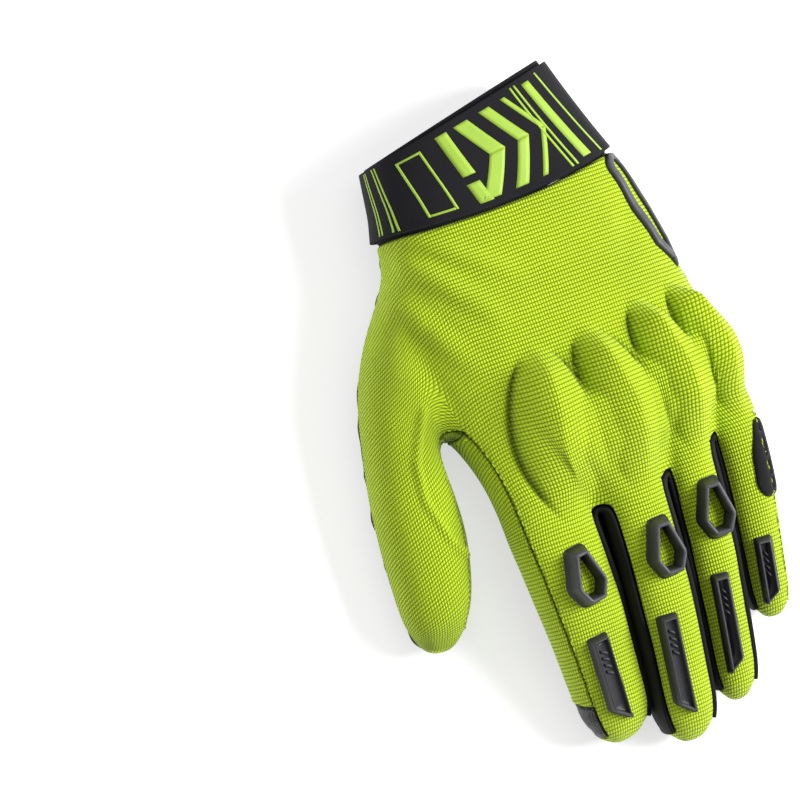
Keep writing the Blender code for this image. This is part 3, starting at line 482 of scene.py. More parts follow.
def weltLift(point):  # the rolled seam over the thumb's back
    spot = Vector((point.x, -point.y))
    line = [Vector(corner) for corner in folds["welt"]]
    return folds["weltHeight"] * hump(edgeDistance(spot, line, False) / folds["weltWidth"])


def smoothSkin(levels):  # the subdivided skin, with its panels as material numbers
    names = sorted(set(skin["panels"]))
    mesh = meshFrom("skin", skin["points"], skin["quads"])
    for polygon, panel in zip(mesh.polygons, skin["panels"]):
        polygon.material_index = names.index(panel)
    for name in names:
        mesh.materials.append(bpy.data.materials.new(name))
    setCloth(mesh, skin["cloth"])
    fine = subdivided(mesh, levels)
    for name in names:
        bpy.data.materials.remove(bpy.data.materials[name])
    return fine, names


def shapeSkin(mesh, names):  # adds the knuckle guard, folds, wrinkles and seam grooves, and paints shade into the knuckle creases and the seams
    panelsAt = [set() for _ in mesh.vertices]
    for polygon in mesh.polygons:
        for number in polygon.vertices:
            panelsAt[number].add(polygon.material_index)
    beside = [0] * len(mesh.vertices)
    for edge in mesh.edges:
        a, b = edge.vertices
        if len(panelsAt[a]) > 1:
            beside[b] = 1
        if len(panelsAt[b]) > 1:
            beside[a] = 1
    back = {names.index(name) for name in ("back_panel", "index_side_panel", "little_side_panel")}
    forks = {number for number, name in enumerate(names) if name.startswith("fork")}
    hides = {number for number, name in enumerate(names) if "palm" in name or "tip" in name}
    moves, sunk = [], []
    for vertex, panels, near in zip(mesh.vertices, panelsAt, beside):
        point, normal = vertex.co, vertex.normal
        facing = smooth(normal.z, *folds["facing"])
        lift, crease = 0, 0
        if panels & back:
            raised, crease = knuckleLift(point.x, -point.y)
            lift += facing * (raised + foldLift(point.x, -point.y) + weltLift(point))
            lift += folds["waves"] * noise.noise(point * folds["waveScale"])
            crease *= facing
        if panels & hides and not panels & back:
            grain = Vector([place * scale for place, scale in zip(point, seams["grain"])])
            lift += seams["wrinkle"] * (abs(noise.noise(grain)) * 2 - 0.6)
        if panels <= forks:
            lift += seams["forkPuff"]
        if len(panels) > 1:
            lift -= seams["groove"]
            crease = 1
        elif near:
            lift += seams["puff"]
        moves.append(normal * lift)
        # painted shade: the knuckle creases and every seam are darkened in colour
        sunk.append(crease)
    setPaintedShade(mesh, sunk)
    for vertex, move in zip(mesh.vertices, moves):
        vertex.co += move
    for vertex in mesh.vertices:
        vertex.co.z = max(vertex.co.z, 0)


def seamPath(mesh, names, first, second):  # points in order along the longest seam between two panels
    pair = {names.index(first), names.index(second)}
    facesAt = {}
    for polygon in mesh.polygons:
        for key in polygon.edge_keys:
            facesAt.setdefault(key, set()).add(polygon.material_index)
    links = {}
    for (a, b), panels in facesAt.items():
        if panels == pair:
            links.setdefault(a, []).append(b)
            links.setdefault(b, []).append(a)
    best = []
    starts = [number for number, others in links.items() if len(others) == 1] or list(links)[:1]
    for start in starts:
        run, last = [start], None
        while True:
            onward = [other for other in links[run[-1]] if other != last and other != start]
            if not onward:
                break
            last = run[-1]
            run.append(onward[0])
        if len(run) > len(best):
            best = run
    return [mesh.vertices[number].co.copy() for number in best]


# Shader helpers
def feed(tree, node, values):  # each value is a number, a colour or another node's socket
    for name, value in values.items():
        if isinstance(value, bpy.types.NodeSocket):
            tree.links.new(value, node.inputs[name])
        else:
            node.inputs[name].default_value = value
    return node


def nodeIn(tree, kind, at, values={}, **settings):
    node = tree.nodes.new(("" if kind.startswith("NodeGroup") else "ShaderNode") + kind)
    node.location = at
    for key, value in settings.items():
        setattr(node, key, value)
    return feed(tree, node, values)


def sumUp(tree, operation, *terms):
    return nodeIn(tree, "Math", (0, 0), dict(enumerate(terms)), operation=operation).outputs[0]


def noiseIn(tree, at, scale, vector, detail=2):
    return nodeIn(tree, "TexNoise", at, {"Scale": scale, "Vector": vector, "Detail": detail})


def newGroup(name, inputs, outputs):
    tree = bpy.data.node_groups.new(name, "ShaderNodeTree")
    for label, kind, value in inputs:
        socket = tree.interface.new_socket(label, in_out="INPUT", socket_type="NodeSocket" + kind)
        if value is not None:
            socket.default_value = value
    for label in outputs:
        tree.interface.new_socket(label, in_out="OUTPUT", socket_type="NodeSocketFloat")
    return tree, nodeIn(tree, "NodeGroupInput", (-900, 0)), nodeIn(tree, "NodeGroupOutput", (500, 0))


weave = {"wanderScale": 140, "drift": 0.0005, "knot": (0.6, 0.7, 0.3), "rib": 0.7, "gap": 0.8,
         "columnGap": (0.72, 0.28), "shade": (1.4, 1.0, 0.2)}
hide = {"bendScale": 260, "bend": 0.0012, "pebble": (3.2, 0.8, 0.4), "swell": 0.5, "crease": 5.0}
nap = {"detail": 4, "patchScale": 120, "patches": 0.5}
# how sharp an edge turns paler: partly rubbed wear, partly a painted highlight
wearAndHighlight = {"patchScale": 420, "from": 0.51, "gain": 9.0}


def makeGroups():
    # Rows of small square knots with dark gaps between the rows and the columns; the dark gaps are painted
    # shade
    tree, given, out = newGroup("ribbedKnit", (("Cloth", "Vector", None), ("Rib Pitch", "Float", 0.00135),
                                               ("Column Pitch", "Float", 0.00098)), ("Height", "Shade"))
    cloth = given.outputs["Cloth"]
    apart = nodeIn(tree, "SeparateXYZ", (-700, 0), {0: cloth})
    wander = noiseIn(tree, (-700, -200), weave["wanderScale"], cloth).outputs[0]
    drift = sumUp(tree, "MULTIPLY", sumUp(tree, "SUBTRACT", wander, 0.5), weave["drift"])
    rib, column = [
        sumUp(tree, "ABSOLUTE", sumUp(tree, "SINE", sumUp(tree, "MULTIPLY", sumUp(
            tree, "DIVIDE", sumUp(tree, "ADD", apart.outputs[axis], drift), given.outputs[pitch]), pi)))
        for axis, pitch in ((1, "Rib Pitch"), (0, "Column Pitch"))
    ]
    power, gain, floor = weave["knot"]
    knots = sumUp(tree, "MULTIPLY_ADD", sumUp(tree, "POWER", column, power), gain, floor)
    gaps = sumUp(tree, "MULTIPLY", sumUp(tree, "POWER", rib, weave["gap"]),
                 sumUp(tree, "MULTIPLY_ADD", column, *weave["columnGap"]))
    gain, limit, blend = weave["shade"]
    feed(tree, out, {
        "Height": sumUp(tree, "MULTIPLY", sumUp(tree, "POWER", rib, weave["rib"]), knots),
        "Shade": sumUp(tree, "SMOOTH_MIN", sumUp(tree, "MULTIPLY", gaps, gain), limit, blend),
    })

    # Pebbles of tanned hide, with fine creases
    tree, given, out = newGroup("pebbledHide", (("Vector", "Vector", None), ("Scale", "Float", 900.0)),
                                ("Height", "Crease"))
    bend = noiseIn(tree, (-700, -250), hide["bendScale"], given.outputs["Vector"])
    moved = nodeIn(tree, "VectorMath", (-500, 0), operation="MULTIPLY_ADD", values={
        0: bend.outputs["Color"], 1: [hide["bend"]] * 3, 2: given.outputs["Vector"]})
    cells = nodeIn(tree, "TexVoronoi", (-300, 0), feature="DISTANCE_TO_EDGE", values={
        "Vector": moved.outputs[0], "Scale": given.outputs["Scale"]}).outputs["Distance"]
    gain, limit, blend = hide["pebble"]
    pebble = sumUp(tree, "SMOOTH_MIN", sumUp(tree, "MULTIPLY", cells, gain), limit, blend)
    feed(tree, out, {
        "Height": sumUp(tree, "MULTIPLY_ADD", bend.outputs[0], hide["swell"], pebble),
        "Crease": sumUp(tree, "SUBTRACT", 1.0, sumUp(tree, "MULTIPLY", cells, hide["crease"])),
    })

    # Short fibres of suede, foam cloth and rubber bloom
    tree, given, out = newGroup("fineNap", (("Vector", "Vector", None), ("Scale", "Float", 2600.0)),
                                ("Height", "Shade"))
    spots = given.outputs["Vector"]
    close = noiseIn(tree, (-500, 100), given.outputs["Scale"], spots, nap["detail"]).outputs[0]
    broad = noiseIn(tree, (-500, -200), nap["patchScale"], spots).outputs[0]
    patches = sumUp(tree, "MULTIPLY", broad, nap["patches"])
    feed(tree, out, {
        "Height": close, "Shade": sumUp(tree, "MULTIPLY_ADD", close, 1 - nap["patches"], patches)})

    # Rubbed edges: sharp edges turn paler, partly as wear and partly as a painted highlight
    tree, given, out = newGroup("edgeWear", (("Vector", "Vector", None), ("Amount", "Float", 1.0)),
                                ("Worn",))
    form = nodeIn(tree, "NewGeometry", (-700, 100)).outputs["Pointiness"]
    patch = noiseIn(tree, (-700, -200), wearAndHighlight["patchScale"], given.outputs["Vector"]).outputs[0]
    ridge = sumUp(tree, "MULTIPLY", sumUp(tree, "SUBTRACT", form, wearAndHighlight["from"]), wearAndHighlight["gain"])
    wornAndLit = sumUp(tree, "MULTIPLY", sumUp(tree, "MULTIPLY", ridge, patch), given.outputs["Amount"])
    feed(tree, out, {"Worn": sumUp(tree, "MINIMUM", sumUp(tree, "MAXIMUM", wornAndLit, 0.0), 1.0)})


finishes = {  # dark, light, roughness from and to, bump depth in metres, group and its scale
    # for the knits, the dark colour is the painted shade in the gaps of the weave
    "limeKnit": {"dark": (0.095, 0.165, 0.001), "light": (0.645, 0.88, 0.012), "rough": (0.95, 0.62),
                 "depth": 0.00050, "group": "ribbedKnit", "sheen": 0.10, "shine": 0.3},
    # a darker copy of the lime knit: painted shade on the thumb's side panel
    "shadedThumbKnit": {"dark": (0.055, 0.095, 0.001), "light": (0.42, 0.60, 0.010), "rough": (0.95, 0.65),
                  "depth": 0.00050, "group": "ribbedKnit", "sheen": 0.2, "shine": 0.4, "Rib Pitch": 0.00145},
    "blackLeather": {"dark": (0.0035, 0.0035, 0.0042), "light": (0.015, 0.015, 0.017), "rough": (0.50, 0.30),
                     "depth": 0.00022, "group": "pebbledHide", "Scale": 820.0, "mask": "Crease",
                     "flip": True, "shine": 0.5},
    "blackSuede": {"dark": (0.006, 0.006, 0.007), "light": (0.021, 0.021, 0.023), "rough": (1.0, 0.9),
                   "depth": 0.00016, "group": "fineNap", "Scale": 2600.0, "sheen": 0.12, "shine": 0.15},
    "blackStretch": {"dark": (0.004, 0.004, 0.005), "light": (0.012, 0.012, 0.014), "rough": (0.70, 0.55),
                     "depth": 0.00008, "group": "fineNap", "Scale": 3600.0, "shine": 0.2},
    "cuffCloth": {"dark": (0.007, 0.007, 0.009), "light": (0.020, 0.020, 0.024), "rough": (1.0, 0.85),
                  "depth": 0.00018, "group": "fineNap", "Scale": 2400.0, "sheen": 0.05, "shine": 0.18},
    # the rubber's paler colour on sharp edges is partly rubbed wear, partly a painted highlight
    "guardRubber": {"dark": (0.034, 0.034, 0.040), "light": (0.075, 0.075, 0.086), "rough": (0.50, 0.38),
                    "depth": 0.00003, "group": "fineNap", "Scale": 1800.0, "wearAndHighlight": (0.20, 0.20, 0.22),
                    "shine": 0.4},
    "limePrint": {"dark": (0.26, 0.46, 0.030), "light": (0.50, 0.74, 0.080), "rough": (0.55, 0.42),
                  "depth": 0.00005, "group": "fineNap", "Scale": 2400.0, "shine": 0.4},
    "limeThread": {"dark": (0.20, 0.30, 0.004), "light": (0.62, 0.82, 0.06), "rough": (0.80, 0.60),
                   "depth": 0.00005, "group": "fineNap", "Scale": 5200.0, "shine": 0.3},
    "blackThread": {"dark": (0.006, 0.006, 0.007), "light": (0.030, 0.030, 0.034), "rough": (0.70, 0.50),
                    "depth": 0.00005, "group": "fineNap", "Scale": 5200.0, "shine": 0.3},
}


def mixColours(tree, at, first, second, share):
    return nodeIn(tree, "Mix", at, data_type="RGBA", values={
        "A": first, "B": (*second, 1), "Factor": share}).outputs["Result"]


blotches = {"scale": 38, "detail": 3, "share": 0.30, "maskShare": 0.80}  # broad unevenness of every finish
grooves = {"dark": 0.4, "share": 0.75}  # how dark and how strong the painted shade in grooves, creases and the guards' low parts is


def finishMaterial(name):
    if name in bpy.data.materials:
        return bpy.data.materials[name]
    look = finishes[name]
    material = bpy.data.materials.new(name)
    material.use_nodes = True
    tree = material.node_tree
    group = nodeIn(tree, "Group", (-700, 0), node_tree=bpy.data.node_groups[look["group"]])
    feed(tree, group, {key: look[key] for key in ("Scale", "Rib Pitch", "Column Pitch") if key in look})
    spots = nodeIn(tree, "TexCoord", (-900, -300)).outputs["Object"]
    if look["group"] == "ribbedKnit":
        feed(tree, group, {"Cloth": nodeIn(tree, "UVMap", (-900, 0), uv_map="cloth").outputs[0]})
    else:
        feed(tree, group, {"Vector": spots})
    mask = group.outputs[look.get("mask", "Shade")]
    broad = noiseIn(tree, (-700, -320), blotches["scale"], spots, blotches["detail"]).outputs[0]
    # the mask sets the colour too: for the knit it is painted shade in the weave's gaps, otherwise the
    # finish's own tone and creases
    toneAndKnitShade = sumUp(tree, "MULTIPLY_ADD", broad, blotches["share"],
                   sumUp(tree, "MULTIPLY", mask, blotches["maskShare"]))
    low, high = (look["light"], look["dark"]) if look.get("flip") else (look["dark"], look["light"])
    colour = mixColours(tree, (-300, 150), (*low, 1), high, toneAndKnitShade)
    # paler sharp edges: partly rubbed wear, partly a painted highlight
    if "wearAndHighlight" in look:
        rubAndHighlight = nodeIn(tree, "Group", (-300, -500), node_tree=bpy.data.node_groups["edgeWear"])
        feed(tree, rubAndHighlight, {"Vector": spots})
        colour = mixColours(tree, (-100, 150), colour, look["wearAndHighlight"], rubAndHighlight.outputs["Worn"])
    # painted shade: colour turns to a dimmed dark in grooves, creases and the guards' low parts
    sunk = nodeIn(tree, "Attribute", (-300, 400), attribute_name="sunk").outputs["Fac"]
    colour = mixColours(tree, (-100, 300), colour, [value * grooves["dark"] for value in look["dark"]],
                        sumUp(tree, "MULTIPLY", sunk, grooves["share"]))
    gloss = nodeIn(tree, "MapRange", (-300, -150), {
        "Value": mask, "To Min": look["rough"][0], "To Max": look["rough"][1]}).outputs[0]
    bump = nodeIn(tree, "Bump", (-300, -350), {
        "Distance": look["depth"], "Height": group.outputs["Height"]}).outputs[0]
    feed(tree, tree.nodes["Principled BSDF"], {
        "Base Color": colour, "Roughness": gloss, "Normal": bump, "Sheen Weight": look.get("sheen", 0),
        "Sheen Roughness": 0.5, "Specular IOR Level": look["shine"],
    })
    return material


# Pieces
def addPiece(name, mesh, finish, slot, *nodes):
    for polygon in mesh.polygons:
        polygon.use_smooth = True
        polygon.material_index = 0
    mesh.materials.clear()
    mesh.materials.append(finishMaterial(finish))
    piece = linked(name, mesh)
    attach(piece, "root")
    if nodes:
        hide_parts(*nodes)
    return piece


def thicken(piece, depth, rounding=0):
    wall = piece.modifiers.new("wall", "SOLIDIFY")
    wall.thickness = depth
    wall.offset = -1
    wall.use_even_offset = False
    if rounding:
        edge = piece.modifiers.new("edge", "BEVEL")
        edge.width = rounding
        edge.segments = 3
        edge.limit_method = "ANGLE"
        edge.angle_limit = radians(50)


def panelMesh(fine, names, panel):
    number = names.index(panel)
    mesh = bmesh.new()
    mesh.from_mesh(fine)
    others = [face for face in mesh.faces if face.material_index != number]
    bmesh.ops.delete(mesh, geom=others, context="FACES")
    data = bpy.data.meshes.new(panel)
    mesh.to_mesh(data)
    mesh.free()
    return data


panelLooks = {  # finish, slot, thickness
    "back_panel": ("limeKnit", "lime_knit", "knit"),
    "index_side_panel": ("limeKnit", "lime_knit", "knit"),
    "little_side_panel": ("limeKnit", "lime_knit", "knit"),
    # the thumb's side panel takes the darker knit copy: painted shade
    "thumb_side_panel": ("shadedThumbKnit", "lime_knit", "knit"),
    "palm_panel": ("blackLeather", "black_leather", "leather"),
    "thumb_palm": ("blackLeather", "black_leather", "leather"),
    "wrist_cuff": ("cuffCloth", "cuff_cloth", "cuff"),
}


def addPanels(fine, names):
    for panel in names:
        if panel.startswith("fork"):
            finish, slot, wall = "blackStretch", "black_stretch", "leather"
        elif panel.endswith("_tip"):
            finish, slot, wall = "blackLeather", "black_leather", "leather"
        else:
            finish, slot, wall = panelLooks[panel]
        piece = addPiece(panel + "_cloth", panelMesh(fine, names, panel), finish, slot, panel)
        thicken(piece, thickness[wall], 0.0005 if panel == "wrist_cuff" else 0)


def loft(loops, capped):  # faces between closed loops of equal length, the last one closed if capped
    points = [point for loop in loops for point in loop]
    count = len(loops[0])
    faces = []
    for row in range(len(loops) - 1):
        for step in range(count):
            after = (step + 1) % count
            faces.append((row * count + step, row * count + after,
                          (row + 1) * count + after, (row + 1) * count + step))
    if capped:
        faces.append([(len(loops) - 1) * count + step for step in range(count)])
    return points, faces


def addLoft(points, faces, loops):
    more, moreFaces = loft(loops, True)
    faces += [[number + len(points) for number in face] for face in moreFaces]
    points += more


def withNeighbours(outline):  # each corner between the one before it and the one after it
    return zip(outline[-1:] + outline[:-1], outline, outline[1:] + outline[:1])


def insetOutline(outline, distance):  # moves each side of a counter-clockwise outline in
    result = []
    for before, here, after in withNeighbours(outline):
        a, b = (here - before).normalized(), (after - here).normalized()
        normal = Vector((-a.y - b.y, a.x + b.x)).normalized()
        lean = max(normal.dot(Vector((-b.y, b.x))), 0.35)
        result.append(here + normal * distance / lean)
    return result


def roundCorners(outline, radius, parts=3):
    result = []
    for before, here, after in withNeighbours(outline):
        a, b = before - here, after - here
        start = here + a.normalized() * min(radius, a.length * 0.4)
        end = here + b.normalized() * min(radius, b.length * 0.4)
        for part in range(parts + 1):
            share = part / parts
            result.append(start.lerp(here, share).lerp(here.lerp(end, share), share))
    return result


def splitSides(outline, spacing):
    result = []
    for here, after in zip(outline, outline[1:] + outline[:1]):
        parts = max(int((after - here).length / spacing), 1)
        result += [here.lerp(after, part / parts) for part in range(parts)]
    return result


def frameAt(frames, share):
    rows = fingerCut["rows"]
    number = next(n for n in range(len(rows) - 1) if share <= rows[n + 1][0])
    part = (share - rows[number][0]) / (rows[number + 1][0] - rows[number][0])
    return {key: mix(frames[number][key], frames[number + 1][key], part) for key in frames[number]}


# Local X runs across the finger, local Y towards its tip, local Z out of its back
def fingerPlacement(shape, across):
    origin = shape["centre"] + shape["up"] * shape["halfHeight"] + shape["side"] * across
    axes = Matrix((shape["side"], shape["forward"], shape["up"])).transposed()
    return Matrix.Translation(origin) @ axes.to_4x4()


def surfaceHeight(tree, placement, x, y, reach=0.02):  # height of the glove over a local plane
    start = placement @ Vector((x, y, reach))
    down = (placement.to_3x3() @ Vector((0, 0, -1))).normalized()
    hit = tree.ray_cast(start, down, reach * 2.2)
    return reach - hit[3] if hit[0] else 0


# A guard from an outline and a profile of (inset, height, how much it follows the surface), with painted
# shade on its low parts.
# "flat" is the level that it doesn't follow from, or None for the middle line of the finger.
def guardMesh(name, tree, placement, outline, profile, capped, flat):
    loops, sunk = [], []
    top = max(height for _, height, _ in profile)
    for inset, height, follow in profile:
        loop = []
        # painted shade: the guard's foot and channel get darker the lower they lie
        sunk += [1 - smooth(height, top * 0.55, top * 0.97)] * len(outline)
        for point in insetOutline(outline, inset):
            own = surfaceHeight(tree, placement, point.x, point.y)
            level = flat if flat is not None else surfaceHeight(tree, placement, 0, point.y)
            loop.append(placement @ Vector((point.x, point.y, mix(level, own, follow) + height)))
        loops.append(loop)
    points, faces = loft(loops, capped)
    if placement.to_3x3().determinant() < 0:  # local axes that are mirrored turn the faces over
        faces = [tuple(reversed(face)) for face in faces]
    mesh = meshFrom(name, points, faces)
    setPaintedShade(mesh, sunk)
    with editing(mesh) as shape:
        bmesh.ops.recalc_face_normals(shape, faces=shape.faces)
        bmesh.ops.triangulate(shape, faces=[face for face in shape.faces if len(face.verts) > 4])
    return mesh


ringGuards = {
    "length": 0.0205, "width": 0.0138, "height": 0.0050, "corner": 0.0016,
    "outline": ((-0.24, -0.48), (0.24, -0.48), (0.50, 0.16), (0.26, 0.50), (-0.26, 0.50), (-0.50, 0.16)),
    "profile": (  # inset, height, how much it follows the cloth
        (-0.0007, -0.0007, 1), (-0.0007, 0.0003, 1), (-0.0001, 0.0006, 1), (0.0000, 0.0012, 1),
        (0.0009, 0.0044, 0), (0.0012, 0.0052, 0), (0.0015, 0.0054, 0), (0.0021, 0.0054, 0),
        (0.0024, 0.0051, 0), (0.0026, 0.0044, 0), (0.0032, 0.0008, 1), (0.0033, -0.0007, 1),
    ),
    "places": (("index", 0.205, 0.00), ("middle", 0.200, 0.11), ("ring", 0.200, 0.16)),  # along, across
}


def addRingGuards(tree, frames, widths):
    shape = ringGuards
    outline = [Vector((x * shape["width"], y * shape["length"])) for x, y in shape["outline"]]
    outline = roundCorners(outline, shape["corner"])
    for finger, along, across in shape["places"]:
        placement = fingerPlacement(frameAt(frames[finger], along), across * widths[finger])
        level = surfaceHeight(tree, placement, 0, 0)
        mesh = guardMesh("ring", tree, placement, outline, shape["profile"], False, level)
        addPiece("knuckle_guard_" + finger, mesh, "guardRubber", "guard_rubber", "knuckle_ring_" + finger)


barGuards = {
    "width": 0.0068, "corner": 0.0010, "spacing": 0.0016, "slant": 0.85,
    "profile": (
        (-0.0005, -0.0006, 1), (-0.0005, 0.0002, 1), (0.0000, 0.0004, 1), (0.0001, 0.0010, 0.6),
        (0.0004, 0.0025, 0), (0.0007, 0.0030, 0), (0.0010, 0.0030, 0), (0.0012, 0.0027, 0),
        (0.0014, 0.0019, 0), (0.0017, 0.0016, 0),
    ),
    "places": (  # finger, start, end, width, which side is longer, across
        ("index", 0.448, 0.880, 1.00, 1, -0.0028), ("middle", 0.434, 0.870, 0.94, 1, -0.0028),
        ("ring", 0.441, 0.870, 0.84, -1, -0.0006), ("little", 0.550, 0.915, 0.82, -1, 0),
    ),
    "teeth": 4, "toothStart": 0.0042, "toothPitch": 0.0026, "toothInset": 0.0022, "toothSlant": 0.0016,
    "toothLength": 0.0010, "toothProfile": ((0, 0.0015), (0.0001, 0.0023), (0.0003, 0.0024)),
}


def addBarGuards(tree, frames, lengths):
    shape = barGuards
    for finger, start, end, share, longer, across in shape["places"]:
        half, reach = shape["width"] * share / 2, (end - start) * lengths[finger] / 2
        slant = shape["slant"] * half * longer
        outline = [Vector(corner) for corner in (
            (-half, -reach), (half, -reach),
            (half, reach + slant - abs(slant)), (-half, reach - slant - abs(slant)))]
        outline = splitSides(roundCorners(outline, shape["corner"]), shape["spacing"])
        placement = fingerPlacement(frameAt(frames[finger], (start + end) / 2), across)
        mesh = guardMesh("bar", tree, placement, outline, shape["profile"], True, None)
        addPiece("finger_guard_" + finger, mesh, "guardRubber", "guard_rubber", "finger_bar_" + finger)
        points, faces = [], []
        inner = half - shape["toothInset"]
        for tooth in range(shape["teeth"]):
            low = -reach + shape["toothStart"] + tooth * shape["toothPitch"]
            high = low + shape["toothSlant"]
            corners = [Vector(corner) for corner in (
                (-inner, low), (inner, high), (inner, high + shape["toothLength"]),
                (-inner, low + shape["toothLength"]))]
            addLoft(points, faces, [
                [placement @ Vector((p.x, p.y, surfaceHeight(tree, placement, 0, p.y) + height))
                 for p in insetOutline(corners, inset)]
                for inset, height in shape["toothProfile"]])
        teeth = meshFrom("teeth", points, faces)
        addPiece("finger_guard_teeth_" + finger, teeth, "guardRubber", "guard_rubber")


loopTrim = {
    "length": 0.045, "width": 0.0115, "tilt": radians(48), "taperStart": 0.55, "taperWidth": 0.9,
    "arcSteps": 10, "spacing": 0.0016,
    "profile": (
        (-0.0002, -0.0005, 1), (-0.0002, 0.0006, 1), (0.0001, 0.0013, 1), (0.0006, 0.0016, 1),
        (0.0022, 0.0016, 1), (0.0026, 0.0013, 1), (0.0028, 0.0006, 1), (0.0028, -0.0005, 1),
    ),
}


def addLoopTrim(tree, palm, shift):
    shape = loopTrim
    first, last = palm[len(hand["cuffRows"]) - 1], palm[len(hand["cuffRows"]) + hand["thumbRows"][0] + 1]
    start, end = [skin["points"][ring[handSteps]] + shift for ring in (first, last)]
    forward = (end - start).normalized()
    outward = Vector((sin(shape["tilt"]), 0, cos(shape["tilt"])))
    outward = (outward - forward * outward.dot(forward)).normalized()
    axes = Matrix((forward.cross(outward), forward, outward)).transposed()
    placement = Matrix.Translation(start + forward * shape["length"] / 2) @ axes.to_4x4()
    half, radius = shape["length"] / 2, shape["width"] / 2
    shoulder, taper = radius * shape["taperWidth"], half * shape["taperStart"]
    angles = [pi * step / shape["arcSteps"] for step in range(shape["arcSteps"] + 1)]
    outline = [Vector((-radius * cos(angle), -half + radius * (1 - sin(angle)))) for angle in angles]
    outline += [Vector((shoulder, taper)), Vector((0, half)), Vector((-shoulder, taper))]
    outline = splitSides(outline, shape["spacing"])
    mesh = guardMesh("loop", tree, placement, outline, shape["profile"], False, 0)
    addPiece("wrist_loop", mesh, "guardRubber", "guard_rubber", "wrist_loop_trim")


def insideOutline(point, outline):
    inside = False
    for a, b in zip(outline, outline[1:] + outline[:1]):
        if (a.y > point.y) != (b.y > point.y):
            if point.x < (b.x - a.x) * (point.y - a.y) / (b.y - a.y) + a.x:
                inside = not inside
    return inside


def edgeDistance(point, outline, closed=True):
    best = 1
    for a, b in zip(outline, outline[1:] + outline[:1] if closed else outline[1:]):
        run = b - a
        share = min(max((point - a).dot(run) / max(run.length_squared, 1e-12), 0), 1)
        best = min(best, (point - a - run * share).length)
    return best


# A suede patch laid on the glove, rounded at its edge and sunk along sewn grooves
def addPatch(node, tree, placement, outline, depth, cell, grooves):
    border = splitSides(roundCorners(outline, pads["corner"]), cell)
    low = [min(point[axis] for point in border) for axis in (0, 1)]
    high = [max(point[axis] for point in border) for axis in (0, 1)]
    inner = []
    for row in range(1, int((high[1] - low[1]) / cell)):
        for column in range(1, int((high[0] - low[0]) / cell)):
            spot = Vector((low[0] + (column + 0.5 * (row % 2)) * cell, low[1] + row * cell))
            if insideOutline(spot, border) and edgeDistance(spot, border) > cell * 0.5:
                inner.append(spot)
    count = len(border)
    sides = [(number, (number + 1) % count) for number in range(count)]
    spots, _, triangles, _, _, _ = delaunay_2d_cdt(border + inner, sides, [list(range(count))], 1, 1e-6)
    points, found = [], []
    outward = (placement.to_3x3() @ Vector((0, 0, 1))).normalized()
    for spot in spots:
        base, normal = tree.ray_cast(placement @ Vector((spot.x, spot.y, pads["rayFrom"])), -outward)[:2]
        found.append(base is not None)
        if base is None:
            base, normal = placement @ Vector((spot.x, spot.y, 0)), outward
        fromEdge = edgeDistance(spot, border)
        rise = depth * (1 - pads["edgeFall"] * max(1 - fromEdge / pads["edgeWidth"], 0) ** 2)
        for inset, sink in grooves:
            rise -= sink * max(1 - abs(fromEdge - inset) / pads["grooveWidth"], 0)
        points.append(base + normal * rise)
    mesh = meshFrom(node, points, [face for face in triangles if all(found[number] for number in face)])
    with editing(mesh) as shape:
        bmesh.ops.delete(shape, geom=[v for v in shape.verts if not v.link_faces], context="VERTS")
    piece = addPiece(node + "_suede", mesh, "blackSuede", "black_suede", node)
    thicken(piece, depth * pads["wall"])
    return piece


pads = {
    "corner": 0.003, "edgeWidth": 0.0012, "edgeFall": 0.6, "grooveWidth": 0.0008, "wall": 0.8,
    "rayFrom": 0.03, "fill": 0.8,
    "depth": 0.0017, "cell": 0.0012, "grooves": ((0.0025, 0.0006), (0.0055, 0.0004)),  # inset, depth
    "littleDepth": 0.0011, "littleCell": 0.0009, "littleGrooves": ((0.0012, 0.0003),),
    "littleTurn": radians(52),
    "heel": ((0.13, 0.02), (-0.275, 0.25), (-0.28, 0.32), (-0.105, 0.45), (0.034, 0.355), (0.104, 0.32),
             (0.266, 0.365), (0.36, 0.41), (0.44, 0.36), (0.46, 0.22), (0.40, 0.08), (0.30, 0.02)),
    "palm": ((-0.27, 0.86), (-0.16, 0.72), (-0.05, 0.785), (0.06, 0.645), (0.24, 0.58), (0.38, 0.615),
             (0.47, 0.69), (0.465, 0.775), (0.18, 0.865), (0.15, 0.945), (0.045, 0.955), (-0.005, 0.91),
             (-0.07, 0.925), (-0.085, 1.03), (-0.155, 1.045), (-0.255, 1.00)),
    "little": ((0.02, 0.16), (0.19, 0.25), (0.36, 0.20), (0.43, 0.08), (0.41, -0.30), (0.20, -0.36),
               (0.05, -0.20)),
}


def addPads(tree, frames, shift):
    under = Matrix.Translation(shift) @ Matrix.Rotation(pi, 4, "Y")
    for name in ("heel", "palm"):
        outline = [Vector((-x * hand["palmWidth"], -hand["cuffLength"] - y * hand["palmLength"]))
                   for x, y in pads[name]]
        if name == "heel":
            outline.reverse()
        piece = addPatch(name + "_pad", tree, under, outline, pads["depth"], pads["cell"], pads["grooves"])
    little = frames["little"][0]["centre"]
    turn = pads["littleTurn"]
    axes = Matrix((Vector((0, 1, 0)), Vector((-cos(turn), 0, sin(turn))),
                   Vector((sin(turn), 0, cos(turn))))).transposed()
    beside = Matrix.Translation(little) @ axes.to_4x4()
    length = fingerCut["all"][-1][1]
    outline = [Vector((-x * length, y * fingerCut["height"])) for x, y in pads["little"]]
    addPatch("little_patch", tree, beside, outline, pads["littleDepth"], pads["littleCell"],
             pads["littleGrooves"])


strap = {
    "top": 0.05, "bottom": 0.97, "palmTop": 0.18, "palmBottom": 0.84, "endTaper": 0.22, "startSteps": 2,
    "openSteps": 3, "taperSteps": 4, "gap": 0.0004, "thickness": 0.0017, "rows": 7, "rounding": 0.0004,
}


def cuffPoint(palm, number, share):
    scaled = share * (len(hand["cuffRows"]) - 1)
    row = min(int(scaled), len(hand["cuffRows"]) - 2)
    near, far = skin["points"][palm[row][number]], skin["points"][palm[row + 1][number]]
    return near.lerp(far, scaled - row)


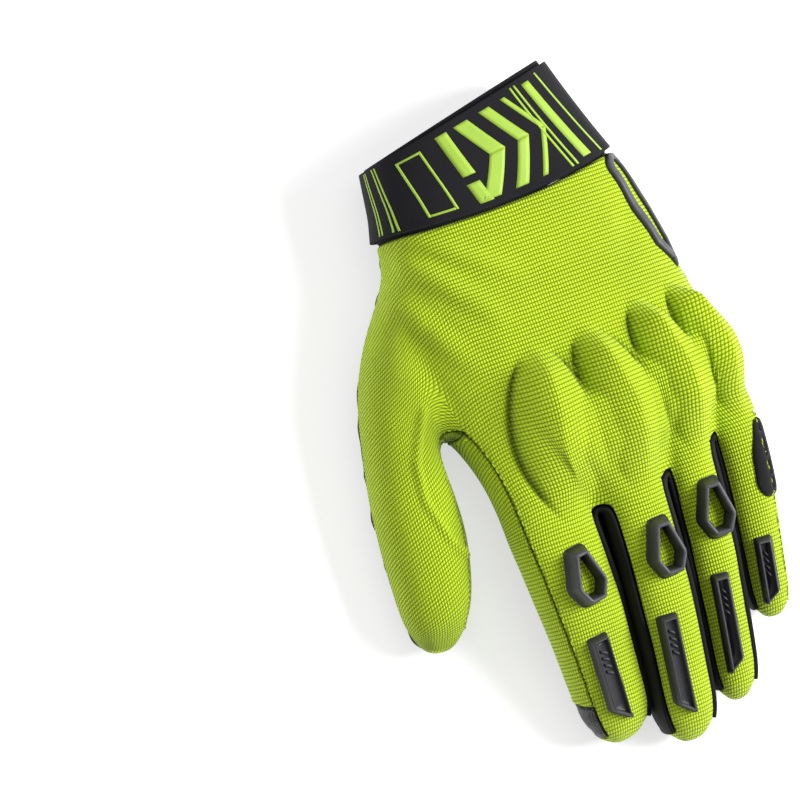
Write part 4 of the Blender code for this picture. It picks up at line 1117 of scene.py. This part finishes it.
def addStrap(palm, shift):  # its cloth runs round the cuff and across the strap
    count = len(palm[0])
    start = handSteps + sideSteps + strap["startSteps"]
    end = start + strap["openSteps"] - count
    points, cloth, faces = [], [], []
    run, last = 0, None
    numbers = list(range(start, end - 1, -1))
    for number in numbers:
        share = min(max(-sideSteps - number, 0) / strap["taperSteps"], 1)
        top = mix(strap["top"], strap["palmTop"], share)
        bottom = mix(strap["bottom"], strap["palmBottom"], share)
        if number == end:
            top, bottom = mix(top, bottom, strap["endTaper"]), mix(bottom, top, strap["endTaper"])
        middle = cuffPoint(palm, number % count, (top + bottom) / 2)
        run += (middle - last).length if last else 0
        last = middle
        for row in range(strap["rows"]):
            share = mix(top, bottom, row / (strap["rows"] - 1))
            points.append(cuffPoint(palm, number % count, share) + shift)
            cloth.append((run, share * hand["cuffLength"]))
    rows = strap["rows"]
    for column in range(len(numbers) - 1):
        for row in range(rows - 1):
            a = column * rows + row
            faces.append((a, a + 1, a + rows + 1, a + rows))
    mesh = meshFrom("strap", points, faces)
    setCloth(mesh, cloth)
    fine = subdivided(mesh, 2)
    with editing(fine) as shape:
        middle = sum((v.co for v in shape.verts), Vector()) / len(shape.verts)
        shape.normal_update()
        if sum((face.calc_center_median() - middle).dot(face.normal) for face in shape.faces) < 0:
            bmesh.ops.reverse_faces(shape, faces=shape.faces)
            shape.normal_update()
        moves = [vertex.normal * (strap["gap"] + strap["thickness"]) for vertex in shape.verts]
        for vertex, move in zip(shape.verts, moves):
            vertex.co += move
    flat = [None] * len(fine.vertices)
    for loop in fine.loops:
        flat[loop.vertex_index] = fine.uv_layers["cloth"].data[loop.index].uv.to_3d()
    places = [vertex.co.copy() for vertex in fine.vertices]
    triangles = []
    for polygon in fine.polygons:
        a, b, c, d = polygon.vertices
        triangles += [(a, b, c), (a, c, d)]
    piece = addPiece("strap_band", fine, "cuffCloth", "cuff_cloth", "wrist_strap")
    thicken(piece, strap["thickness"], strap["rounding"])
    return {"flat": flat, "places": places, "triangles": triangles,
            "tree": BVHTree.FromPolygons(flat, triangles), "length": run}


def onStrap(sheet, x, y, lift):  # a point over the strap at a place on its flat pattern
    spot, _, number, _ = sheet["tree"].find_nearest(Vector((x, y, 0)))
    a, b, c = sheet["triangles"][number]
    fa, fb, fc = (sheet["flat"][n] for n in (a, b, c))
    pa, pb, pc = (sheet["places"][n] for n in (a, b, c))
    area = (fb - fa).cross(fc - fa).z
    wb = (spot - fa).cross(fc - fa).z / area
    wc = (fb - fa).cross(spot - fa).z / area
    normal = (pb - pa).cross(pc - pa).normalized()
    if normal.dot(pa - Vector((0, pa.y, hand["wristHeight"] / 2))) < 0:
        normal = -normal
    return pa + (pb - pa) * wb + (pc - pa) * wc + normal * lift


# The strap's print: fine pairs of lines, a frame, a broad bar and chevrons, in millimetres.
# Places run from the back's middle towards the thumb, and from the wrist's opening to the hand.
printed = {
    "middle": 0.40, "lift": 0.00012, "cell": 0.0012, "thickness": 0.0001,
    "bars": (  # middle, top, bottom, width, lean
        (36.0, 3, 34, 0.7, 5), (34.4, 3, 34, 0.7, 5), (29.6, 3, 34, 0.7, 5), (28.0, 3, 34, 0.7, 5),
        (2.2, 4.5, 22, 4.6, 4), (-1.0, 25, 33, 4.6, 2), (-29.5, 3, 34, 0.8, 5), (-31.4, 3, 34, 0.8, 5),
        (-36.0, 4, 33, 3.4, 5), (-42.0, 3, 34, 0.8, 5),
    ),
    "frame": (14.5, 6, 32, 8.6, 6, 0.9),  # middle, top, bottom, width, lean, line
    "chevrons": ((-7.0, 12.0), (-16.5, 9.0), (-23.5, 4.0)),  # middle, thickness
    "chevronReach": (4.5, 32.5, 8),
}


def addPrint(sheet):
    centre = sheet["length"] * printed["middle"]
    pieces = []

    def quad(corners):
        pieces.append([Vector((x, y)) / 1000 for x, y in corners])

    def slanted(middle, top, bottom, width, lean):
        quad(((middle - width / 2 + lean / 2, top), (middle + width / 2 + lean / 2, top),
              (middle + width / 2 - lean / 2, bottom), (middle - width / 2 - lean / 2, bottom)))

    for bar in printed["bars"]:
        slanted(*bar)
    middle, top, bottom, width, lean, line = printed["frame"]
    turn = lean / (bottom - top)
    slanted(middle - width / 2, top, bottom, line, lean)
    slanted(middle + width / 2, top, bottom, line, lean)
    for y in (top, bottom - line):
        shift = ((top + bottom) / 2 - y) * turn
        left, right = middle - width / 2 + shift, middle + width / 2 + shift
        quad(((left, y), (right, y), (right - line * turn, y + line), (left - line * turn, y + line)))
    top, bottom, depth = printed["chevronReach"]
    half = (top + bottom) / 2
    for left, wide in printed["chevrons"]:
        right = left + wide / 2
        quad(((left, top), (right, top), (right - depth, half), (left - depth, half)))
        quad(((left - depth, half), (right - depth, half), (right, bottom), (left, bottom)))
    points, faces = [], []
    for corners in pieces:
        rows = max(int((corners[3] - corners[0]).length / printed["cell"]), 1)
        columns = max(int((corners[1] - corners[0]).length / printed["cell"]), 1)
        first = len(points)
        for row in range(rows + 1):
            left, right = corners[0].lerp(corners[3], row / rows), corners[1].lerp(corners[2], row / rows)
            for column in range(columns + 1):
                spot = left.lerp(right, column / columns)
                points.append(onStrap(sheet, centre + spot.x, spot.y, printed["lift"]))
        for row in range(rows):
            for column in range(columns):
                a = first + row * (columns + 1) + column
                faces.append((a, a + columns + 1, a + columns + 2, a + 1))
    mesh = meshFrom("print", points, faces)
    axis = Vector((0, 0, hand["wristHeight"] / 2))
    with editing(mesh) as shape:
        shape.normal_update()
        inward = [face for face in shape.faces
                  if face.normal.dot((face.calc_center_median() - axis) * Vector((1, 0, 1))) < 0]
        bmesh.ops.reverse_faces(shape, faces=inward)
    thicken(addPiece("strap_print", mesh, "limePrint", "lime_knit"), printed["thickness"])


def evenly(path, spacing):  # points at even spacing along a path, each with the way on from there
    result, travelled, wanted = [], 0, spacing / 2
    for a, b in zip(path, path[1:]):
        length = (b - a).length
        while length and travelled + length >= wanted:
            result.append((a.lerp(b, (wanted - travelled) / length), (b - a).normalized()))
            wanted += spacing
        travelled += length
    return result


stitches = {
    "pitch": 0.0024, "length": 0.0016, "radius": 0.00026, "sides": 6, "flatness": 0.8, "lift": 0.35,
    "profile": ((-0.5, 0.3), (-0.25, 0.95), (0.25, 0.95), (0.5, 0.3)),  # along, width
    "lime": (  # the two panels, and how far the row lies from their seam
        ("back_panel", "index_side_panel", 0.0016), ("back_panel", "thumb_side_panel", 0.0014),
        ("back_panel", "little_side_panel", 0.0014),
    ),
    "dark": (("palm_panel", "thumb_palm"), ("palm_panel", "index_tip"), ("palm_panel", "middle_tip"),
             ("palm_panel", "ring_tip"), ("palm_panel", "little_tip"), ("thumb_palm", "thumb_tip")),
    "darkOffset": 0.0013,
}


def addStitches(name, rows, surface, finish, slot):  # short raised stitches that lie on the glove
    points, faces = [], []
    radius, sides = stitches["radius"], stitches["sides"]
    angles = [2 * pi * step / sides for step in range(sides)]
    for path in rows:
        for spot, forward in evenly(path, stitches["pitch"]):
            base, normal = surface.find_nearest(spot)[:2]
            side = normal.cross(forward).normalized()
            faces.append([len(points) + step for step in reversed(range(sides))])
            base += normal * radius * stitches["lift"]
            addLoft(points, faces, [
                [base + forward * along * stitches["length"]
                 + (side * cos(angle) + normal * sin(angle) * stitches["flatness"]) * width * radius
                 for angle in angles]
                for along, width in stitches["profile"]])
    addPiece(name, meshFrom(name, points, faces), finish, slot)


def offsetPath(path, surface, distance):  # the path moved sideways over the surface
    moved = []
    for number, point in enumerate(path):
        onward = path[min(number + 2, len(path) - 1)] - path[max(number - 2, 0)]
        hit = surface.find_nearest(point)
        side = hit[1].cross(onward.normalized()).normalized()
        moved.append(surface.find_nearest(point + side * distance)[0])
    return moved


def addSewing(fine, names, surface):
    lime, dark = [], []
    for first, second, distance in stitches["lime"]:
        path = seamPath(fine, names, first, second)
        sides = [offsetPath(path, surface, sign * distance) for sign in (1, -1)]
        lime.append(max(sides, key=lambda side: sum(point.z for point in side)))
    for first, second in stitches["dark"]:
        path = seamPath(fine, names, first, second)
        dark += [offsetPath(path, surface, sign * stitches["darkOffset"]) for sign in (1, -1)]
    addStitches("lime_stitches", lime, surface, "limeThread", "lime_knit")
    addStitches("leather_stitches", dark, surface, "blackThread", "black_leather")


# The photo's view: nearly overhead, leaning to the thumb's side, with the fingers down and to the right
view = {
    "target": (-0.0463, 0.0271, 0.0198), "lean": radians(15), "roll": (0.938, 0.346),
    "width": 0.2708, "lens": 150, "sensor": 36, "clip": (0.01, 20),
}


def addCamera():
    lens = bpy.data.cameras.new("camera")
    lens.lens, lens.sensor_width = view["lens"], view["sensor"]
    lens.clip_start, lens.clip_end = view["clip"]
    camera = linked("camera", lens)
    across = Vector((cos(view["lean"]), 0, sin(view["lean"])))
    away = Vector((-sin(view["lean"]), 0, cos(view["lean"])))
    turn, drop = view["roll"]
    right = (across * turn + Vector((0, -1, 0)) * drop).normalized()
    up = away.cross(right)
    distance = view["width"] * view["lens"] / view["sensor"]
    turned = Matrix((right, up, away)).transposed().to_4x4()
    camera.matrix_world = Matrix.Translation(Vector(view["target"]) + away * distance) @ turned
    bpy.context.scene.camera = camera
    return right, up, away


studio = {
    "floor": (0.80, 0.80, 0.80), "floorSize": 6, "floorLevel": -0.0002, "floorRoughness": 0.9, "glow": 0.60,
    "world": 0.24, "middle": (0, 0, 0.02), "distance": 0.9,
    "lights": (  # name, right, up, away as the camera sees it, size, power
        ("key", 1.0, 0.25, 0.55, 0.45, 11.0), ("fill", -0.9, 0.35, 0.5, 0.5, 1.6),
        ("top", 0, 0.5, 1.0, 0.6, 1.0),
    ),
}


def addStudio(right, up, away):
    bpy.ops.mesh.primitive_plane_add(size=studio["floorSize"], location=(0, 0, studio["floorLevel"]))
    floor = bpy.context.object
    floor.name = "floor"
    paint = bpy.data.materials.new("floorPaint")
    paint.use_nodes = True
    feed(paint.node_tree, paint.node_tree.nodes["Principled BSDF"], {
        "Base Color": (*studio["floor"], 1), "Roughness": studio["floorRoughness"],
        "Emission Color": (1, 1, 1, 1), "Emission Strength": studio["glow"],
    })
    floor.data.materials.append(paint)
    world = bpy.context.scene.world or bpy.data.worlds.new("world")
    bpy.context.scene.world = world
    world.use_nodes = True
    feed(world.node_tree, world.node_tree.nodes["Background"], {
        "Color": (1, 1, 1, 1), "Strength": studio["world"]})
    middle = Vector(studio["middle"])
    for name, along, over, out, size, power in studio["lights"]:
        lamp = bpy.data.lights.new(name, "AREA")
        lamp.size, lamp.energy = size, power
        light = linked(name, lamp)
        direction = (right * along + up * over + away * out).normalized()
        light.location = middle + direction * studio["distance"]
        light.rotation_euler = (-direction).to_track_quat("-Z", "Y").to_euler()
    bpy.context.scene.view_settings.view_transform = "Standard"


makeGroups()
frames, palm, shift = buildCage()
print("cage", len(skin["points"]), "points")
fine, names = smoothSkin(3)
shapeSkin(fine, names)
for vertex in fine.vertices:
    vertex.co += shift
for rows in frames.values():
    for shape in rows:
        shape["centre"] = shape["centre"] + shift
surface = BVHTree.FromPolygons([v.co for v in fine.vertices], [list(p.vertices) for p in fine.polygons])
print("skin", len(fine.polygons), "faces")
addPanels(fine, names)
print("panels")
widths = {finger[0]: finger[2] for finger in fingerCut["all"]}
lengths = {finger[0]: finger[1] for finger in fingerCut["all"]}
addRingGuards(surface, frames, widths)
addBarGuards(surface, frames, lengths)
addLoopTrim(surface, palm, shift)
print("guards")
addPads(surface, frames, shift)
sheet = addStrap(palm, shift)
addPrint(sheet)
addSewing(fine, names, surface)
print("pads, strap and sewing")
bpy.data.meshes.remove(fine)
addStudio(*addCamera())
